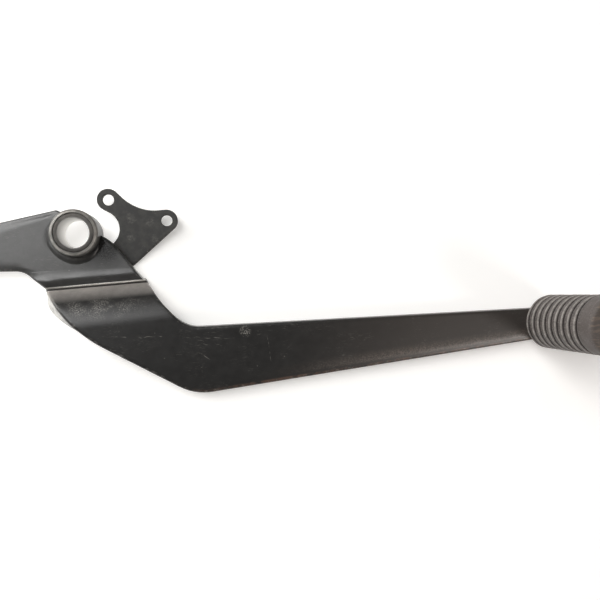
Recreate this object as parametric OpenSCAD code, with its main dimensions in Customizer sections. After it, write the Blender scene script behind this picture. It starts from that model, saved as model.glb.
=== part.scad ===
// Rear brake pedal for the right-hand side of a motorcycle.
// A pressed plate arm turns on a welded tube. Its short lever pulls the brake rod, its long bar
// carries the foot peg, and a thin bracket behind it holds the return spring and the lamp spring.
// Z runs along the pivot bore, outboard, away from the frame. X runs forward, to the foot peg.
// The origin is on the pivot axis, in the plane of the arm plate's inboard face.

/* [Pivot tube] */
// Wall thickness of the tube
tube_wall = 1.75; // [1.5:0.25:3]
// Length of the tube
tube_len = 22; // [20:0.5:30]
// How far the tube stands out on the plate's inboard side
tube_back = 4; // [4:0.25:7]
// Chamfer on the outer edges of both ends
tube_chamfer = 1; // [0.4:0.1:1.3]
// Chamfer on the inner edges of both ends
tube_lead_in = 0.3; // [0.2:0.1:0.7]

/* [Pivot bush] */
// Bore of the bush, which turns on the pivot bolt
bush_bore = 14; // [12:0.25:16]
// Wall thickness of the bush
bush_wall = 2.25; // [1:0.25:2.5]
// Depth of the bush ends below the tube ends
bush_recess = 0.6; // [0.2:0.1:2]
// Rounding of the bush's end edges
bush_round = 0.5; // [0.2:0.05:0.6]

/* [Arm plate] */
// Thickness of the plate
plate_t = 7; // [5:0.25:8]
// Radius of the rolled edges all round the plate
edge_r = 1.2; // [0.4:0.1:1.3]
// Gap between the tube and its round seat in the plate
seat_gap = 0.1; // [0.05:0.05:0.2]

/* [Offset bend] */
// Place of the sharp crease along X
crease_x = 8; // [6:0.5:10]
// Place of the sharp crease along Y
crease_y = -24.9; // [-27:0.1:-24]
// Angle of the crease to the X axis
crease_angle = 5; // [3:0.5:7]
// Steepness of the shallow dip that leads into the crease
dip_angle = 9; // [4:0.5:10]
// Radius of the shallow dip
dip_r = 38; // [25:1:40]
// Inside radius of the crease
crease_r = 1.2; // [0.8:0.1:2]
// Steepness of the rise beyond the crease
rise_angle = 60; // [50:1:62]
// Radius of the wide bend at the top of the rise
crest_r = 20; // [12:0.5:21]
// Sideways offset between the pivot plate and the long bar
offset_h = 12; // [11.5:0.25:16]
// How far the squeezed inboard edge spreads sideways under the crest, on the lever side
flare_width = 2.6; // [0.5:0.1:2.8]
// Place of the lip of squeezed metal at the crease's forward end, along X
lip_x = 33.5; // [32.5:0.1:34.5]
// Width of that lip
crease_lip = 1.3; // [1:0.1:1.5]

/* [Rod lever] */
// Place of the brake rod hole along X
rod_x = -60; // [-75:1:-50]
// Place of the brake rod hole along Y
rod_y = -10.2; // [-12:0.2:-9]
// Diameter of the brake rod hole
rod_hole = 8; // [6:0.25:10]
// Radius of the lever's round end
lever_end_r = 8.6; // [7:0.2:9]

/* [Foot bar] */
// Place of the foot peg along X
peg_x = 244.5; // [200:0.5:280]
// Place of the foot peg along Y
peg_y = -45.5; // [-50:0.5:-44]
// Radius of the bar's round end
bar_end_r = 8; // [7.4:0.1:9]
// Place of the heel, the bar's lowest point, along X
heel_x = 60.4; // [57:0.2:63]
// Lower edge of the heel along Y
heel_low = -77.2; // [-80:0.2:-74]
// Radius of the heel
heel_r = 26; // [18:1:30]
// Place of the elbow opposite the heel, along X
elbow_x = 57.9; // [56:0.1:60]
// Upper edge of the bar at the elbow, along Y
elbow_high = -44.8; // [-46:0.1:-44]
// Inside radius of the elbow
elbow_r = 16; // [10:0.5:18]

/* [Spring bracket] */
// Thickness of the bracket's sheet
bracket_t = 3; // [2:0.25:3.5]
// Diameter of both spring holes
spring_hole = 5.5; // [4:0.25:6]
// Outside radius of the round ears
ear_r = 5.5; // [5:0.1:6.5]
// Place of the upper spring hole along X
upper_hole_x = 13.8; // [12.5:0.1:15]
// Place of the upper spring hole along Y
upper_hole_y = 17.4; // [16.5:0.1:19]
// Place of the forward spring hole along X
front_hole_x = 42.1; // [40:0.1:46]
// Place of the forward spring hole along Y
front_hole_y = 7.6; // [5:0.1:8]
// Rounding of the bracket's hidden foot
foot_r = 3; // [2:0.25:3.5]

/* [Welds] */
// Leg of the bead round the tube on the outboard face
front_bead = 4; // [2.5:0.25:5]
// Leg of the bead round the tube on the inboard face
back_bead = 2.8; // [2:0.2:3.6]
// Leg of the beads along the bracket
bracket_bead = 2; // [1.5:0.1:2]
// Angle round the tube at which both beads start, from the X axis
bead_start_angle = 138; // [136:1:180]
// Angle at which the outboard bead ends
front_bead_end_angle = 334; // [300:1:338]
// Angle at which the inboard bead ends
back_bead_end_angle = 300; // [240:1:300]
// Length of the bead along the bracket's lower edge
lower_bead_len = 8; // [4:0.5:9]
// Length of the bead along the bracket's side
side_bead_len = 4; // [3:0.5:6]
// Width of the flat bead round the stud's riveted end
stud_bead = 1.6; // [1:0.1:1.9]

/* [Foot peg] */
// Diameter of the stud's spigot, which passes through the bar
spigot_d = 10; // [8:0.5:11]
// Diameter of the stud's body
stud_d = 14; // [12:0.5:15]
// Diameter of the stud's head, which keeps the rubber on
head_d = 18; // [16.5:0.5:20]
// Thickness of the stud's head
head_t = 4; // [3:0.5:6]
// Outside diameter of the rubber
rubber_d = 29; // [27:0.5:32]
// Length of the rubber
rubber_len = 53; // [40:0.5:65]
// Thickness of the rubber's closed end
rubber_end = 5; // [4:0.5:8]
// Length of the plain collar at the rubber's outer end
collar_len = 10; // [6:0.5:14]
// Distance from groove to groove
groove_pitch = 5; // [4:0.1:5]
// Distance from the bar to the first groove
groove_start = 2; // [1.8:0.1:2.4]
// Width of a groove
groove_w = 1.5; // [1:0.1:1.8]
// Depth of a groove
groove_depth = 1.3; // [0.8:0.1:1.8]
// Rounding of the ribs between the grooves
rib_round = 0.6; // [0.3:0.1:0.7]
// Rounding of the rubber's outer end
end_round = 2.2; // [1:0.1:3]
// Gap between the stud and the rubber
rubber_gap = 0.05; // [0.02:0.01:0.1]

/* [Hidden] */
$fn = 64;
cut = 1;

tube_bore_r = bush_bore / 2 + bush_wall;
tube_r = tube_bore_r + tube_wall;
tube_front = tube_len - tube_back;
bar_top = plate_t + offset_h;

// Directions along the crease and across it, toward the bar
along = [cos(crease_angle), sin(crease_angle)];
across = [sin(crease_angle), -cos(crease_angle)];
crease = [crease_x, crease_y];

// The outboard face of the offset, as pieces of arc and line: each row is the distance across
// the crease, the height above the pivot plate, the slope and the length measured on the face
dip_steps = 4;
crease_steps = 8;
crest_steps = 14;
dip_run = dip_r * sin(dip_angle);
dip_drop = dip_r * (1 - cos(dip_angle));
crease_drop = crease_r * (cos(dip_angle) - cos(rise_angle));
crest_limit = (offset_h + dip_drop - crease_drop) / (1 - cos(rise_angle));
crest = min(crest_r, crest_limit - 0.5);
straight = (offset_h + dip_drop - crease_drop - crest * (1 - cos(rise_angle))) / sin(rise_angle);
crease_run = crease_r * (sin(rise_angle) + sin(dip_angle));
crease_arc = crease_r * (rise_angle + dip_angle) * PI / 180;
dip_arc = dip_r * dip_angle * PI / 180;
dip_rows = [for (i = [0 : dip_steps - 1]) let (a = dip_angle * i / dip_steps)
    [dip_r * sin(a) - dip_run, dip_r * (cos(a) - 1), -a, dip_r * a * PI / 180 - dip_arc]];
crease_rows = [for (i = [0 : crease_steps])
    let (a = (rise_angle + dip_angle) * i / crease_steps - dip_angle)
    [crease_r * (sin(a) + sin(dip_angle)), crease_r * (cos(dip_angle) - cos(a)) - dip_drop, a,
    crease_r * (a + dip_angle) * PI / 180]];
crest_start = crease_run + straight * cos(rise_angle);
crest_rows = [for (i = [0 : crest_steps]) let (a = rise_angle * (1 - i / crest_steps))
    [crest_start + crest * (sin(rise_angle) - sin(a)), offset_h - crest * (1 - cos(a)), a,
    crease_arc + straight + crest * (rise_angle - a) * PI / 180]];
bend_rows = concat(dip_rows, crease_rows, crest_rows);
bend_last = bend_rows[len(bend_rows) - 1];
spread = bend_last[3] - bend_last[0];

run_of = [for (r = bend_rows) [r[3], r[0]]];
rise_of = [for (r = bend_rows) [r[3], r[1]]];
slope_of = [for (r = bend_rows) [r[3], r[2]]];

// Distance of a point of the flat blank beyond the crease, and along it
function beyond(p) = (p - crease) * across;
function beside(p) = (p - crease) * along;

// A point of the flat blank, taken down by a depth, moved to its place on the pressed arm
function pressed(p, depth) =
    let (s = beyond(p), low = s <= run_of[0][0], high = s >= bend_last[3],
        run = low ? s : high ? s - spread : lookup(s, run_of),
        rise = low ? 0 : high ? offset_h : lookup(s, rise_of),
        slope = low || high ? 0 : lookup(s, slope_of),
        q = crease + along * beside(p) + across * (run + depth * sin(slope)))
    [q[0], q[1], plate_t + rise - depth * cos(slope)];

// An outline round a ring of circles, each [x, y, radius]. The line runs anticlockwise, with
// tangents between the circles. A negative radius is an inside corner.
step_angle = 9;
step_length = 4;
function heading(a, b) = let (d = b - a, gap = norm([d[0], d[1]]))
    atan2(d[1], d[0]) + asin((a[2] - b[2]) / gap);
function turned(from, to, sense) = let (t = (to - from) * sense)
    sense * (t - 360 * floor(t / 360));
function belt(rings) = [for (i = [0 : len(rings) - 1])
    let (n = len(rings), c = rings[i], before = rings[(i + n - 1) % n], after = rings[(i + 1) % n],
        start = heading(before, c), turn = turned(start, heading(c, after), sign(c[2])),
        arc = abs(c[2] * turn) * PI / 180,
        steps = max(1, ceil(abs(turn) / step_angle), ceil(arc / step_length)))
    for (k = [0 : steps]) let (a = start + turn * k / steps)
        [c[0] + c[2] * sin(a), c[1] - c[2] * cos(a)]];

// Circles beyond the offset are given where they are on the finished pedal, and laid out flat here
function laid_out(c) = [c[0] + spread * across[0], c[1] + spread * across[1], c[2]];

horn = [-9.6, 10, 1.4];
lever_end = [rod_x, rod_y, lever_end_r];
lever_fillet = [-28.3, -27.4, -9.2];
side_fillet = [-17.2, -28.2, -2.5];
side_round = [43.5, -5.2, 62];
heel = laid_out([heel_x, heel_low + heel_r, heel_r]);
bar_end = laid_out([peg_x, peg_y, bar_end_r]);
elbow = laid_out([elbow_x, elbow_high + elbow_r, -elbow_r]);
rise_side = [71, -14.9, -38];
lip = [lip_x - crease_lip, -24.3, crease_lip];
lip_fillet = [31.7, -20.3, -2];
shoulder = [-1.3, -24, 26.5];
blank_rings = [shoulder, horn, lever_end, lever_fillet, side_fillet, side_round, heel, bar_end,
    elbow, rise_side, lip, lip_fillet];
blank = belt(blank_rings);

// The blank's outline is cut into the pivot plate, the bar, and the two sides of the offset,
// which take one point at each row of the bend
margin = 1.5;
bend_start = bend_rows[0][3];
bend_end = bend_last[3];
pivot_side = [for (p = blank) if (beyond(p) < bend_start - margin) p];
bar_side = [for (p = blank) if (beyond(p) > bend_end + margin) p];
bar_first = min([for (i = [0 : len(blank) - 1]) if (beyond(blank[i]) > bend_end + margin) i]);
bar_last = bar_first + len(bar_side) - 1;
left_line = [for (i = [len(pivot_side) - 1 : bar_first])
    [beyond(blank[i]), beside(blank[i])]];
right_line = [for (i = [bar_last : len(blank)]) let (p = blank[i % len(blank)])
    [beyond(p), beside(p)]];
function on_line(s, table) = crease + across * s + along * lookup(s, table);
rows = len(bend_rows);
left_side = [for (r = bend_rows) on_line(r[3], left_line)];
right_side = [for (i = [rows - 1 : -1 : 0]) on_line(bend_rows[i][3], right_line)];
rim = concat(pivot_side, left_side, bar_side, right_side);
rim_n = len(rim);
left_at = len(pivot_side);
bar_at = left_at + rows;
right_at = bar_at + len(bar_side);

// Direction in which the rolled edge draws the rim inward: square to the rim on the flats, and
// along the crease on the offset, so that each row stays in one line across the plate
function unit(v) = v / norm(v);
function inward(i) =
    let (t = unit(rim[(i + 1) % rim_n] - rim[(i + rim_n - 1) % rim_n]), n = [-t[1], t[0]],
        on_left = i >= left_at && i < bar_at, on_right = i >= right_at, share = n * along)
    on_left || on_right ? along / share
    : let (a = unit(rim[i] - rim[(i + rim_n - 1) % rim_n]), b = unit(rim[(i + 1) % rim_n] - rim[i]))
        n / max(0.7, n * [-a[1], a[0]]);

// The edge's profile, as inset and depth from the outboard face to the inboard face
edge_steps = 3;
edge_rows = concat(
    [for (k = [0 : edge_steps]) let (a = 90 * k / edge_steps)
        [edge_r * (1 - sin(a)), edge_r * (1 - cos(a))]],
    [for (k = [edge_steps : -1 : 0]) let (a = 90 * k / edge_steps)
        [edge_r * (1 - sin(a)), plate_t - edge_r * (1 - cos(a))]]);
edge_n = len(edge_rows);
flare_end = 1.3 * bend_end;
function flare(i) = i < left_at || i >= bar_at ? 0
    : flare_width * max(0, sin(180 * bend_rows[i - left_at][3] / flare_end));
arm_points = [for (e = edge_rows) for (i = [0 : rim_n - 1])
    pressed(rim[i] + inward(i) * e[0], e[1]) - [along[0], along[1], 0] * flare(i) * e[1] / plate_t];

// Faces of one side of the plate, as lists of places on the rim: two flats and the rows between
flat_faces = concat(
    [[for (i = [0 : left_at]) i, rim_n - 1]],
    [[for (i = [bar_at - 1 : right_at]) i]],
    [for (k = [0 : rows - 2]) let (l = left_at + k, r = rim_n - 1 - k) [l, l + 1, r - 1, r]]);
function flipped(f) = [for (i = [len(f) - 1 : -1 : 0]) f[i]];
function lifted(f, by) = [for (i = f) i + by];
arm_faces = concat(
    [for (f = flat_faces) flipped(f)],
    [for (f = flat_faces) lifted(f, (edge_n - 1) * rim_n)],
    [for (e = [0 : edge_n - 2]) for (i = [0 : rim_n - 1])
        let (j = (i + 1) % rim_n, a = e * rim_n, b = a + rim_n) [a + i, a + j, b + j, b + i]]);

// Outline of the bracket, with its foot behind the arm
upper_ear = [upper_hole_x, upper_hole_y, ear_r];
front_ear = [front_hole_x, front_hole_y, ear_r];
hollow_r = 22;
boss_r = 9.2;
clear = 0.25;
ear_line = [front_hole_x - upper_hole_x, front_hole_y - upper_hole_y];
hollow_reach = sqrt((ear_r + hollow_r + clear) ^ 2 - (ear_line * ear_line) / 4);
hollow_at = [upper_hole_x, upper_hole_y] + ear_line / 2
    + hollow_reach * [-ear_line[1], ear_line[0]] / norm(ear_line);
top_hollow = [hollow_at[0], hollow_at[1], -hollow_r];
boss_reach = ear_r + boss_r + clear;
boss_hollow = [upper_hole_x - 0.267 * boss_reach, upper_hole_y - 0.964 * boss_reach, -boss_r];
foot_left = [13, -12.5, foot_r];
foot_right = [24, -12.7, foot_r];
bracket_rings = [front_ear, top_hollow, upper_ear, boss_hollow, foot_left, foot_right];

// Number of grooves that fit between the bar and the collar
groove_n = 1 + floor((rubber_len - collar_len - groove_start - groove_w / 2) / groove_pitch);

// Heights of the stud's two ends
spigot_end = offset_h - stud_bead;
stud_end = bar_top + rubber_len - rubber_end;

module ring_profile(inner_r, outer_r, bottom, top, outer_cut, inner_cut) {
    polygon([[inner_r + inner_cut, bottom], [outer_r - outer_cut, bottom],
        [outer_r, bottom + outer_cut], [outer_r, top - outer_cut], [outer_r - outer_cut, top],
        [inner_r + inner_cut, top], [inner_r, top - inner_cut], [inner_r, bottom + inner_cut]]);
}

// A weld bead in the corner of a wall and a floor, with a slightly swollen face
module bead_profile(leg) {
    swell = 0.12;
    polygon(concat([[0, 0]], [for (k = [0 : 6]) let (a = 15 * k, t = k / 6, b = swell * sin(180 * t))
        [leg * (1 - t + b), leg * (t + b)]]));
}

module round_bead(leg, from, to) {
    rotate([0, 0, from]) rotate_extrude(angle = to - from) translate([tube_r, 0]) bead_profile(leg);
}

module straight_bead(leg, length) {
    rotate([90, 0, 90]) linear_extrude(length) bead_profile(leg);
}

module pedal_arm() {
    color("#3a3937") difference() {
        polyhedron(arm_points, arm_faces, convexity = 6);
        translate([0, 0, -cut]) cylinder(r = tube_r + seat_gap, h = plate_t + 2 * cut);
        translate([rod_x, rod_y, -cut]) cylinder(d = rod_hole, h = plate_t + 2 * cut);
        translate([peg_x, peg_y, offset_h - cut]) cylinder(d = spigot_d, h = plate_t + 2 * cut);
    }
}

module pivot_tube() {
    color("#6e6a65") rotate_extrude()
        ring_profile(tube_bore_r, tube_r, -tube_back, tube_front, tube_chamfer, tube_lead_in);
}

module pivot_bush() {
    color("#b8b3a8") rotate_extrude() ring_profile(bush_bore / 2, tube_bore_r,
        bush_recess - tube_back, tube_front - bush_recess, bush_round, bush_round);
}

module pivot_weld_front() {
    color("#4b4844") translate([0, 0, plate_t])
        round_bead(front_bead, bead_start_angle, front_bead_end_angle);
}

module pivot_weld_back() {
    color("#4b4844") mirror([0, 0, 1]) round_bead(back_bead, bead_start_angle, back_bead_end_angle);
}

module spring_bracket() {
    color("#484743") translate([0, 0, -bracket_t]) difference() {
        linear_extrude(bracket_t) polygon(belt(bracket_rings));
        for (ear = [upper_ear, front_ear]) translate([ear[0], ear[1], -cut])
            cylinder(d = spring_hole, h = bracket_t + 2 * cut);
    }
}

// A bead in the corner between the foot's edge and the arm's inboard face. It ends a little way
// before the point where the edge runs into the second circle.
module foot_bead(from, to, before_end, length) {
    side = heading(from, to);
    translate([to[0] + to[2] * sin(side), to[1] - to[2] * cos(side)]) rotate([0, 0, side])
        translate([-before_end - length, 0, 0]) mirror([0, 0, 1]) mirror([0, 1, 0])
            straight_bead(bracket_bead, length);
}

module bracket_weld_lower() {
    color("#4b4844") foot_bead(foot_left, foot_right, 1.5, lower_bead_len);
}

module bracket_weld_side() {
    color("#4b4844") foot_bead(boss_hollow, foot_left, 0, side_bead_len);
}

module peg_stud() {
    color("#8b867f") translate([peg_x, peg_y, 0]) rotate_extrude() polygon([
        [0, spigot_end], [spigot_d / 2, spigot_end], [spigot_d / 2, bar_top],
        [stud_d / 2, bar_top], [stud_d / 2, stud_end - head_t], [head_d / 2, stud_end - head_t],
        [head_d / 2, stud_end - head_t / 2], [stud_d / 2, stud_end], [0, stud_end]]);
}

module peg_weld() {
    color("#4b4844") translate([peg_x, peg_y, offset_h]) mirror([0, 0, 1]) rotate_extrude()
        translate([spigot_d / 2, 0]) bead_profile(stud_bead);
}

// Half of a groove's edge: the rib rounds over into the groove
function rib_edge(z, side) = [for (k = [0 : 4]) let (a = 90 * (side > 0 ? 4 - k : k) / 4)
    [rubber_d / 2 - rib_round * (1 - cos(a)), z + side * rib_round * (1 - sin(a))]];

module peg_rubber() {
    outer = rubber_d / 2;
    bore = stud_d / 2 + rubber_gap;
    pocket = head_d / 2 + rubber_gap;
    shelf = rubber_len - rubber_end - head_t - rubber_gap;
    roof = rubber_len - rubber_end + rubber_gap;
    grooves = [for (g = [0 : groove_n - 1]) let (z = groove_start + g * groove_pitch)
        each concat(rib_edge(z - groove_w / 2, -1), [[outer - groove_depth, z - groove_w / 2],
            [outer - groove_depth, z + groove_w / 2]], rib_edge(z + groove_w / 2, 1))];
    rounding = [for (k = [0 : 6]) let (a = 90 * k / 6)
        [outer - end_round * (1 - cos(a)), rubber_len - end_round * (1 - sin(a))]];
    color("#5b5350") translate([peg_x, peg_y, bar_top]) rotate_extrude() polygon(concat(
        [[bore, 0], [outer - rib_round, 0]], grooves, rounding,
        [[0, rubber_len], [0, roof], [pocket, roof], [pocket, shelf], [bore, shelf]]));
}

pedal_arm();
pivot_tube();
pivot_bush();
pivot_weld_front();
pivot_weld_back();
spring_bracket();
bracket_weld_lower();
bracket_weld_side();
peg_stud();
peg_weld();
peg_rubber();
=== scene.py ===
import math

import bmesh
import bpy
import numpy as np
from bpy.props import FloatProperty, FloatVectorProperty, IntProperty, PointerProperty
from mathutils import Matrix, Vector


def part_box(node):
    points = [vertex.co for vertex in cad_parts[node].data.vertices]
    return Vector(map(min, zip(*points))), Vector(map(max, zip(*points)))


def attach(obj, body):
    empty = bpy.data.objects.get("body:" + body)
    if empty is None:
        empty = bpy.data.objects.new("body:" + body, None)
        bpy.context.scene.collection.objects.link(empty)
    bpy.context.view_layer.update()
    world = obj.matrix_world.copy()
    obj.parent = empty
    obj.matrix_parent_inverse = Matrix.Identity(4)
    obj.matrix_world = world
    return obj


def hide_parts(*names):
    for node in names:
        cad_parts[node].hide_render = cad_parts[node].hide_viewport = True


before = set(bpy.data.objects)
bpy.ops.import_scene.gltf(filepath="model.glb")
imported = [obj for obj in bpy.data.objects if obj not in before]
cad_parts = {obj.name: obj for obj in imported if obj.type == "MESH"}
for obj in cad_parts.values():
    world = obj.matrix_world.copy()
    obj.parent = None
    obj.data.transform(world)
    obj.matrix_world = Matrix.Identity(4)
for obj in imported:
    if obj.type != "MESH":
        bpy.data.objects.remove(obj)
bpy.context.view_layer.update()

bl_info = {
    "name": "Rear brake pedal",
    "version": (1, 0, 0),
    "blender": (4, 5, 0),
    "location": "3D View > Sidebar > Pedal",
    "description": "Dresses a packed rear brake pedal: arm, pivot tube, spring bracket, welds and foot peg",
    "category": "Mesh",
}

MM = 0.001
BODY = "root"
# Distances in metres below which points and edges are merged, in degrees the angle that stays
# sharp, and in radians half the angle of a corner that is left unrounded
SEAM_GAP, POLE_GAP, SHARP_FROM, NEARLY_STRAIGHT = 2e-6, 1e-7, 38.0, 1.56


# Lines and grids. All lengths are in millimetres until a mesh is made.

def lengths(line):
    """Distance along a line of points, from its first point to each of the others."""
    steps = np.linalg.norm(np.diff(line, axis=0), axis=1)
    return np.concatenate([[0.0], np.cumsum(steps)])


def along_line(line, distance):
    """Points of a line at the given distances from its start."""
    place = lengths(line)
    return np.stack([np.interp(distance, place, line[:, k]) for k in range(line.shape[1])], -1)


def fine_line(points, step=0.2):
    """The same line with a point at every step of its length, and at its corners."""
    points = np.asarray(points, float)
    place = lengths(points)
    spots = np.unique(np.concatenate([place, np.arange(0, place[-1], step)]))
    return along_line(points, spots)


def nearest(line, point):
    """Distance along a line at which it passes closest to a point."""
    return lengths(line)[np.argmin(np.linalg.norm(line - np.asarray(point, float), axis=1))]


def arc(centre, radius, start, end, count=33):
    """Points of a circle's arc: the centre plus the radius times cosine and sine of the angle."""
    angle = np.radians(np.linspace(start, end, count))
    return np.asarray(centre, float) + radius * np.stack([np.cos(angle), np.sin(angle)], -1)


def belt(rings, turn_step=2.0):
    """Outline round a ring of circles, each (x, y, radius), anticlockwise. Between two circles it
    is their common tangent, whose heading is the direction of the line of centres plus the arc
    sine of the difference of radii over the distance. On a circle it turns from the heading of the
    tangent before to that of the tangent after. A negative radius is an inside corner."""
    rings = np.asarray(rings, float)
    after = np.roll(rings, -1, axis=0)
    gap = after[:, :2] - rings[:, :2]
    heading = np.degrees(np.arctan2(gap[:, 1], gap[:, 0]))
    heading += np.degrees(np.arcsin((rings[:, 2] - after[:, 2]) / np.linalg.norm(gap, axis=1)))
    parts = []
    for (x, y, r), start, end in zip(rings, np.roll(heading, 1), heading):
        turn = (end - start) * np.sign(r) % 360 * np.sign(r)
        count = max(2, int(abs(turn) / turn_step) + 2)
        angle = np.radians(start + np.linspace(0, turn, count))
        parts.append(np.stack([x + r * np.sin(angle), y - r * np.cos(angle)], -1))
    return np.concatenate(parts)


def open_at(loop, point):
    """A closed outline as a line that starts and ends at the place closest to a point."""
    loop = fine_line(np.concatenate([loop, loop[:1]]))[:-1]
    loop = np.roll(loop, -int(np.argmin(np.linalg.norm(loop - np.asarray(point), axis=1))), axis=0)
    return np.concatenate([loop, loop[:1]])


def unit(v):
    return v / np.linalg.norm(v)


def on_arc(centre, radius, angle):
    return arc(centre, radius, angle, angle, 1)[0]


def tied_stations(spine, rim, on_spine, on_rim, steps):
    """Matching distances along a spine and a rim. Each point on the spine is tied to one on the
    rim, with a number of steps to the next tie; between ties both distances grow evenly."""
    ties = np.concatenate([[0], np.cumsum(steps)])
    count = np.arange(ties[-1] + 1)
    return [np.interp(count, ties, [nearest(line, point) for point in points])
            for line, points in ((spine, on_spine), (rim, on_rim))]


def two_rims(outline, end):
    """Both sides of an opened outline, from its start to the place closest to the end."""
    split = int(np.argmin(np.linalg.norm(outline - end, axis=1)))
    return fine_line(outline[:split + 1]), fine_line(outline[split:][::-1])


def ripple(x, y, seed, size):
    """Smooth unevenness between about -1 and 1: the mean of nine sine waves with fixed directions
    and phases, whose lengths lie round the given size."""
    draw = np.random.default_rng(seed)
    turn, phase = draw.uniform(0, 2 * math.pi, (2, 9))
    rate = 2 * math.pi / (size * draw.uniform(0.6, 1.7, 9))
    total = 0.0
    for t, p, k in zip(turn, phase, rate):
        total = total + np.sin(k * (x * math.cos(t) + y * math.sin(t)) + p)
    return total / 4.5


def grid_quads(rows, cols, closed_rows=False, closed_cols=False):
    """Faces of a grid whose point in row i and column j has the number i * cols + j."""
    i = np.arange(rows if closed_rows else rows - 1)[:, None]
    j = np.arange(cols if closed_cols else cols - 1)[None, :]
    i2, j2 = (i + 1) % rows, (j + 1) % cols
    return np.stack([i * cols + j, i2 * cols + j, i2 * cols + j2, i * cols + j2], -1).reshape(-1, 4)


def grid(points, marks=None, closed_rows=False, closed_cols=False, flip=False):
    """A sheet of a piece: its points as rows x columns x 3, and named values that materials read."""
    rows, cols = points.shape[:2]
    quads = grid_quads(rows, cols, closed_rows, closed_cols)
    return {"points": points.reshape(-1, 3), "quads": quads[:, ::-1] if flip else quads,
            "marks": {k: np.broadcast_to(v, (rows, cols)).reshape(-1)
                      for k, v in (marks or {}).items()}}


def build_piece(name, sheets, finish, replaced):
    """Joins sheets into one closed mesh in metres, merges their seams and poles, and hands the
    object to the frame. Raises an error when an edge stays open."""
    points = np.concatenate([s["points"] for s in sheets]) * MM
    starts = np.cumsum([0] + [len(s["points"]) for s in sheets[:-1]])
    quads = np.concatenate([s["quads"] + a for s, a in zip(sheets, starts)])
    mesh = bpy.data.meshes.new(name)
    mesh.vertices.add(len(points))
    mesh.vertices.foreach_set("co", points.reshape(-1))
    mesh.loops.add(quads.size)
    mesh.loops.foreach_set("vertex_index", quads.reshape(-1))
    mesh.polygons.add(len(quads))
    mesh.polygons.foreach_set("loop_start", np.arange(0, quads.size, 4))
    mesh.update(calc_edges=True)
    for key in sorted(set(k for s in sheets for k in s["marks"])):
        values = np.concatenate([s["marks"].get(key, np.zeros(len(s["points"]))) for s in sheets])
        mesh.attributes.new(key, "FLOAT", "POINT").data.foreach_set("value", values.astype(float))
    work = bmesh.new()
    work.from_mesh(mesh)
    bmesh.ops.remove_doubles(work, verts=work.verts, dist=SEAM_GAP)
    bmesh.ops.dissolve_degenerate(work, edges=work.edges, dist=POLE_GAP)
    open_edges = sum(1 for e in work.edges if len(e.link_faces) != 2)
    bmesh.ops.recalc_face_normals(work, faces=work.faces)
    work.to_mesh(mesh)
    work.free()
    if open_edges:
        raise RuntimeError(f"{name} has {open_edges} open edges")
    mesh.polygons.foreach_set("use_smooth", np.ones(len(mesh.polygons), bool))
    mesh.set_sharp_from_angle(angle=math.radians(SHARP_FROM))
    mesh.materials.append(bpy.data.materials[finish])
    piece = bpy.data.objects.new(name, mesh)
    bpy.context.scene.collection.objects.link(piece)
    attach(piece, BODY)
    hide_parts(*replaced)
    return piece


def quarter_roll(radius, count=7):
    """Inset and depth of a quarter round, from the face to the side wall."""
    angle = np.linspace(0, math.pi / 2, count)
    return radius * (1 - np.sin(angle)), radius * (1 - np.cos(angle))


def plate_half(inner, rim, inward, roll, thickness, place, shift, cols=(15, 7, 6)):
    """One half of a plate, from a line inside it round its rim and back on the other face. Across
    the faces a point moves evenly from the inner line to the rolled edge. The edge is a quarter
    round, the side wall and a second quarter round. place(points, depth) puts points of the flat
    blank, taken down by a depth, in their final place. Returns the points, their distance to the
    edge, and 0 on the first face to 1 on the other."""
    face_n, roll_n, wall_n = cols
    inset, sunk = quarter_roll(1.0, roll_n)
    inset = np.concatenate([inset, np.zeros(wall_n), inset[::-1]])
    down = np.linspace(0, 1, wall_n + 2)[1:-1]
    roll = roll[:, None]
    depth = np.concatenate([roll * sunk, roll + (thickness - 2 * roll) * down,
                            thickness - roll * sunk[::-1]], 1)
    flat = rim[:, None] + inward[:, None] * (roll * inset)[..., None]
    edge = place(flat, depth) - shift[:, None] * (depth / thickness)[..., None]
    share = np.linspace(0, 1, face_n)[None, :-1, None]
    front_in, back_in = (place(inner, np.full(len(inner), d))[:, None] for d in (0.0, thickness))
    front = front_in + (edge[:, :1] - front_in) * share
    back = back_in + (edge[:, -1:] - back_in) * share[:, ::-1]
    width = np.linalg.norm(front_in - edge[:, :1], axis=-1)
    away = np.concatenate([width * (1 - share[..., 0]), np.zeros(depth.shape),
                           width * (1 - share[:, ::-1, 0])], 1)
    face = np.concatenate([np.zeros(front.shape[:2]), depth / thickness, np.ones(back.shape[:2])], 1)
    return np.concatenate([front, edge, back], 1), away, face


def hole_wall(centre, radius, chamfer, thickness, place, start, count):
    """Wall of a round hole: a circle carried down the plate, with rounded rims."""
    inset, sunk = quarter_roll(chamfer, 4)
    spread = radius + np.concatenate([inset, inset[::-1]])
    depth = np.concatenate([sunk, thickness - sunk[::-1]])
    angle = np.radians(start) + np.arange(count) * 2 * math.pi / count
    ring = np.stack([np.cos(angle), np.sin(angle)], -1)[:, None] * spread[None, :, None]
    flat = np.asarray(centre, float) + ring
    depth = np.broadcast_to(depth, flat.shape[:2])
    return place(flat, depth), depth / thickness


def spun(profile, centre, count, wobble=None):
    """A profile of (radius, height) points carried round a vertical axis through the centre."""
    profile = np.asarray(profile, float)
    angle = np.arange(count) * 2 * math.pi / count
    radius = np.broadcast_to(profile[None, :, 0], (count, len(profile))).copy()
    height = np.broadcast_to(profile[None, :, 1], (count, len(profile))).copy()
    if wobble is not None:
        radius, height = wobble(angle[:, None], radius, height)
    return np.stack([centre[0] + radius * np.cos(angle)[:, None],
                     centre[1] + radius * np.sin(angle)[:, None], height], -1)


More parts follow.
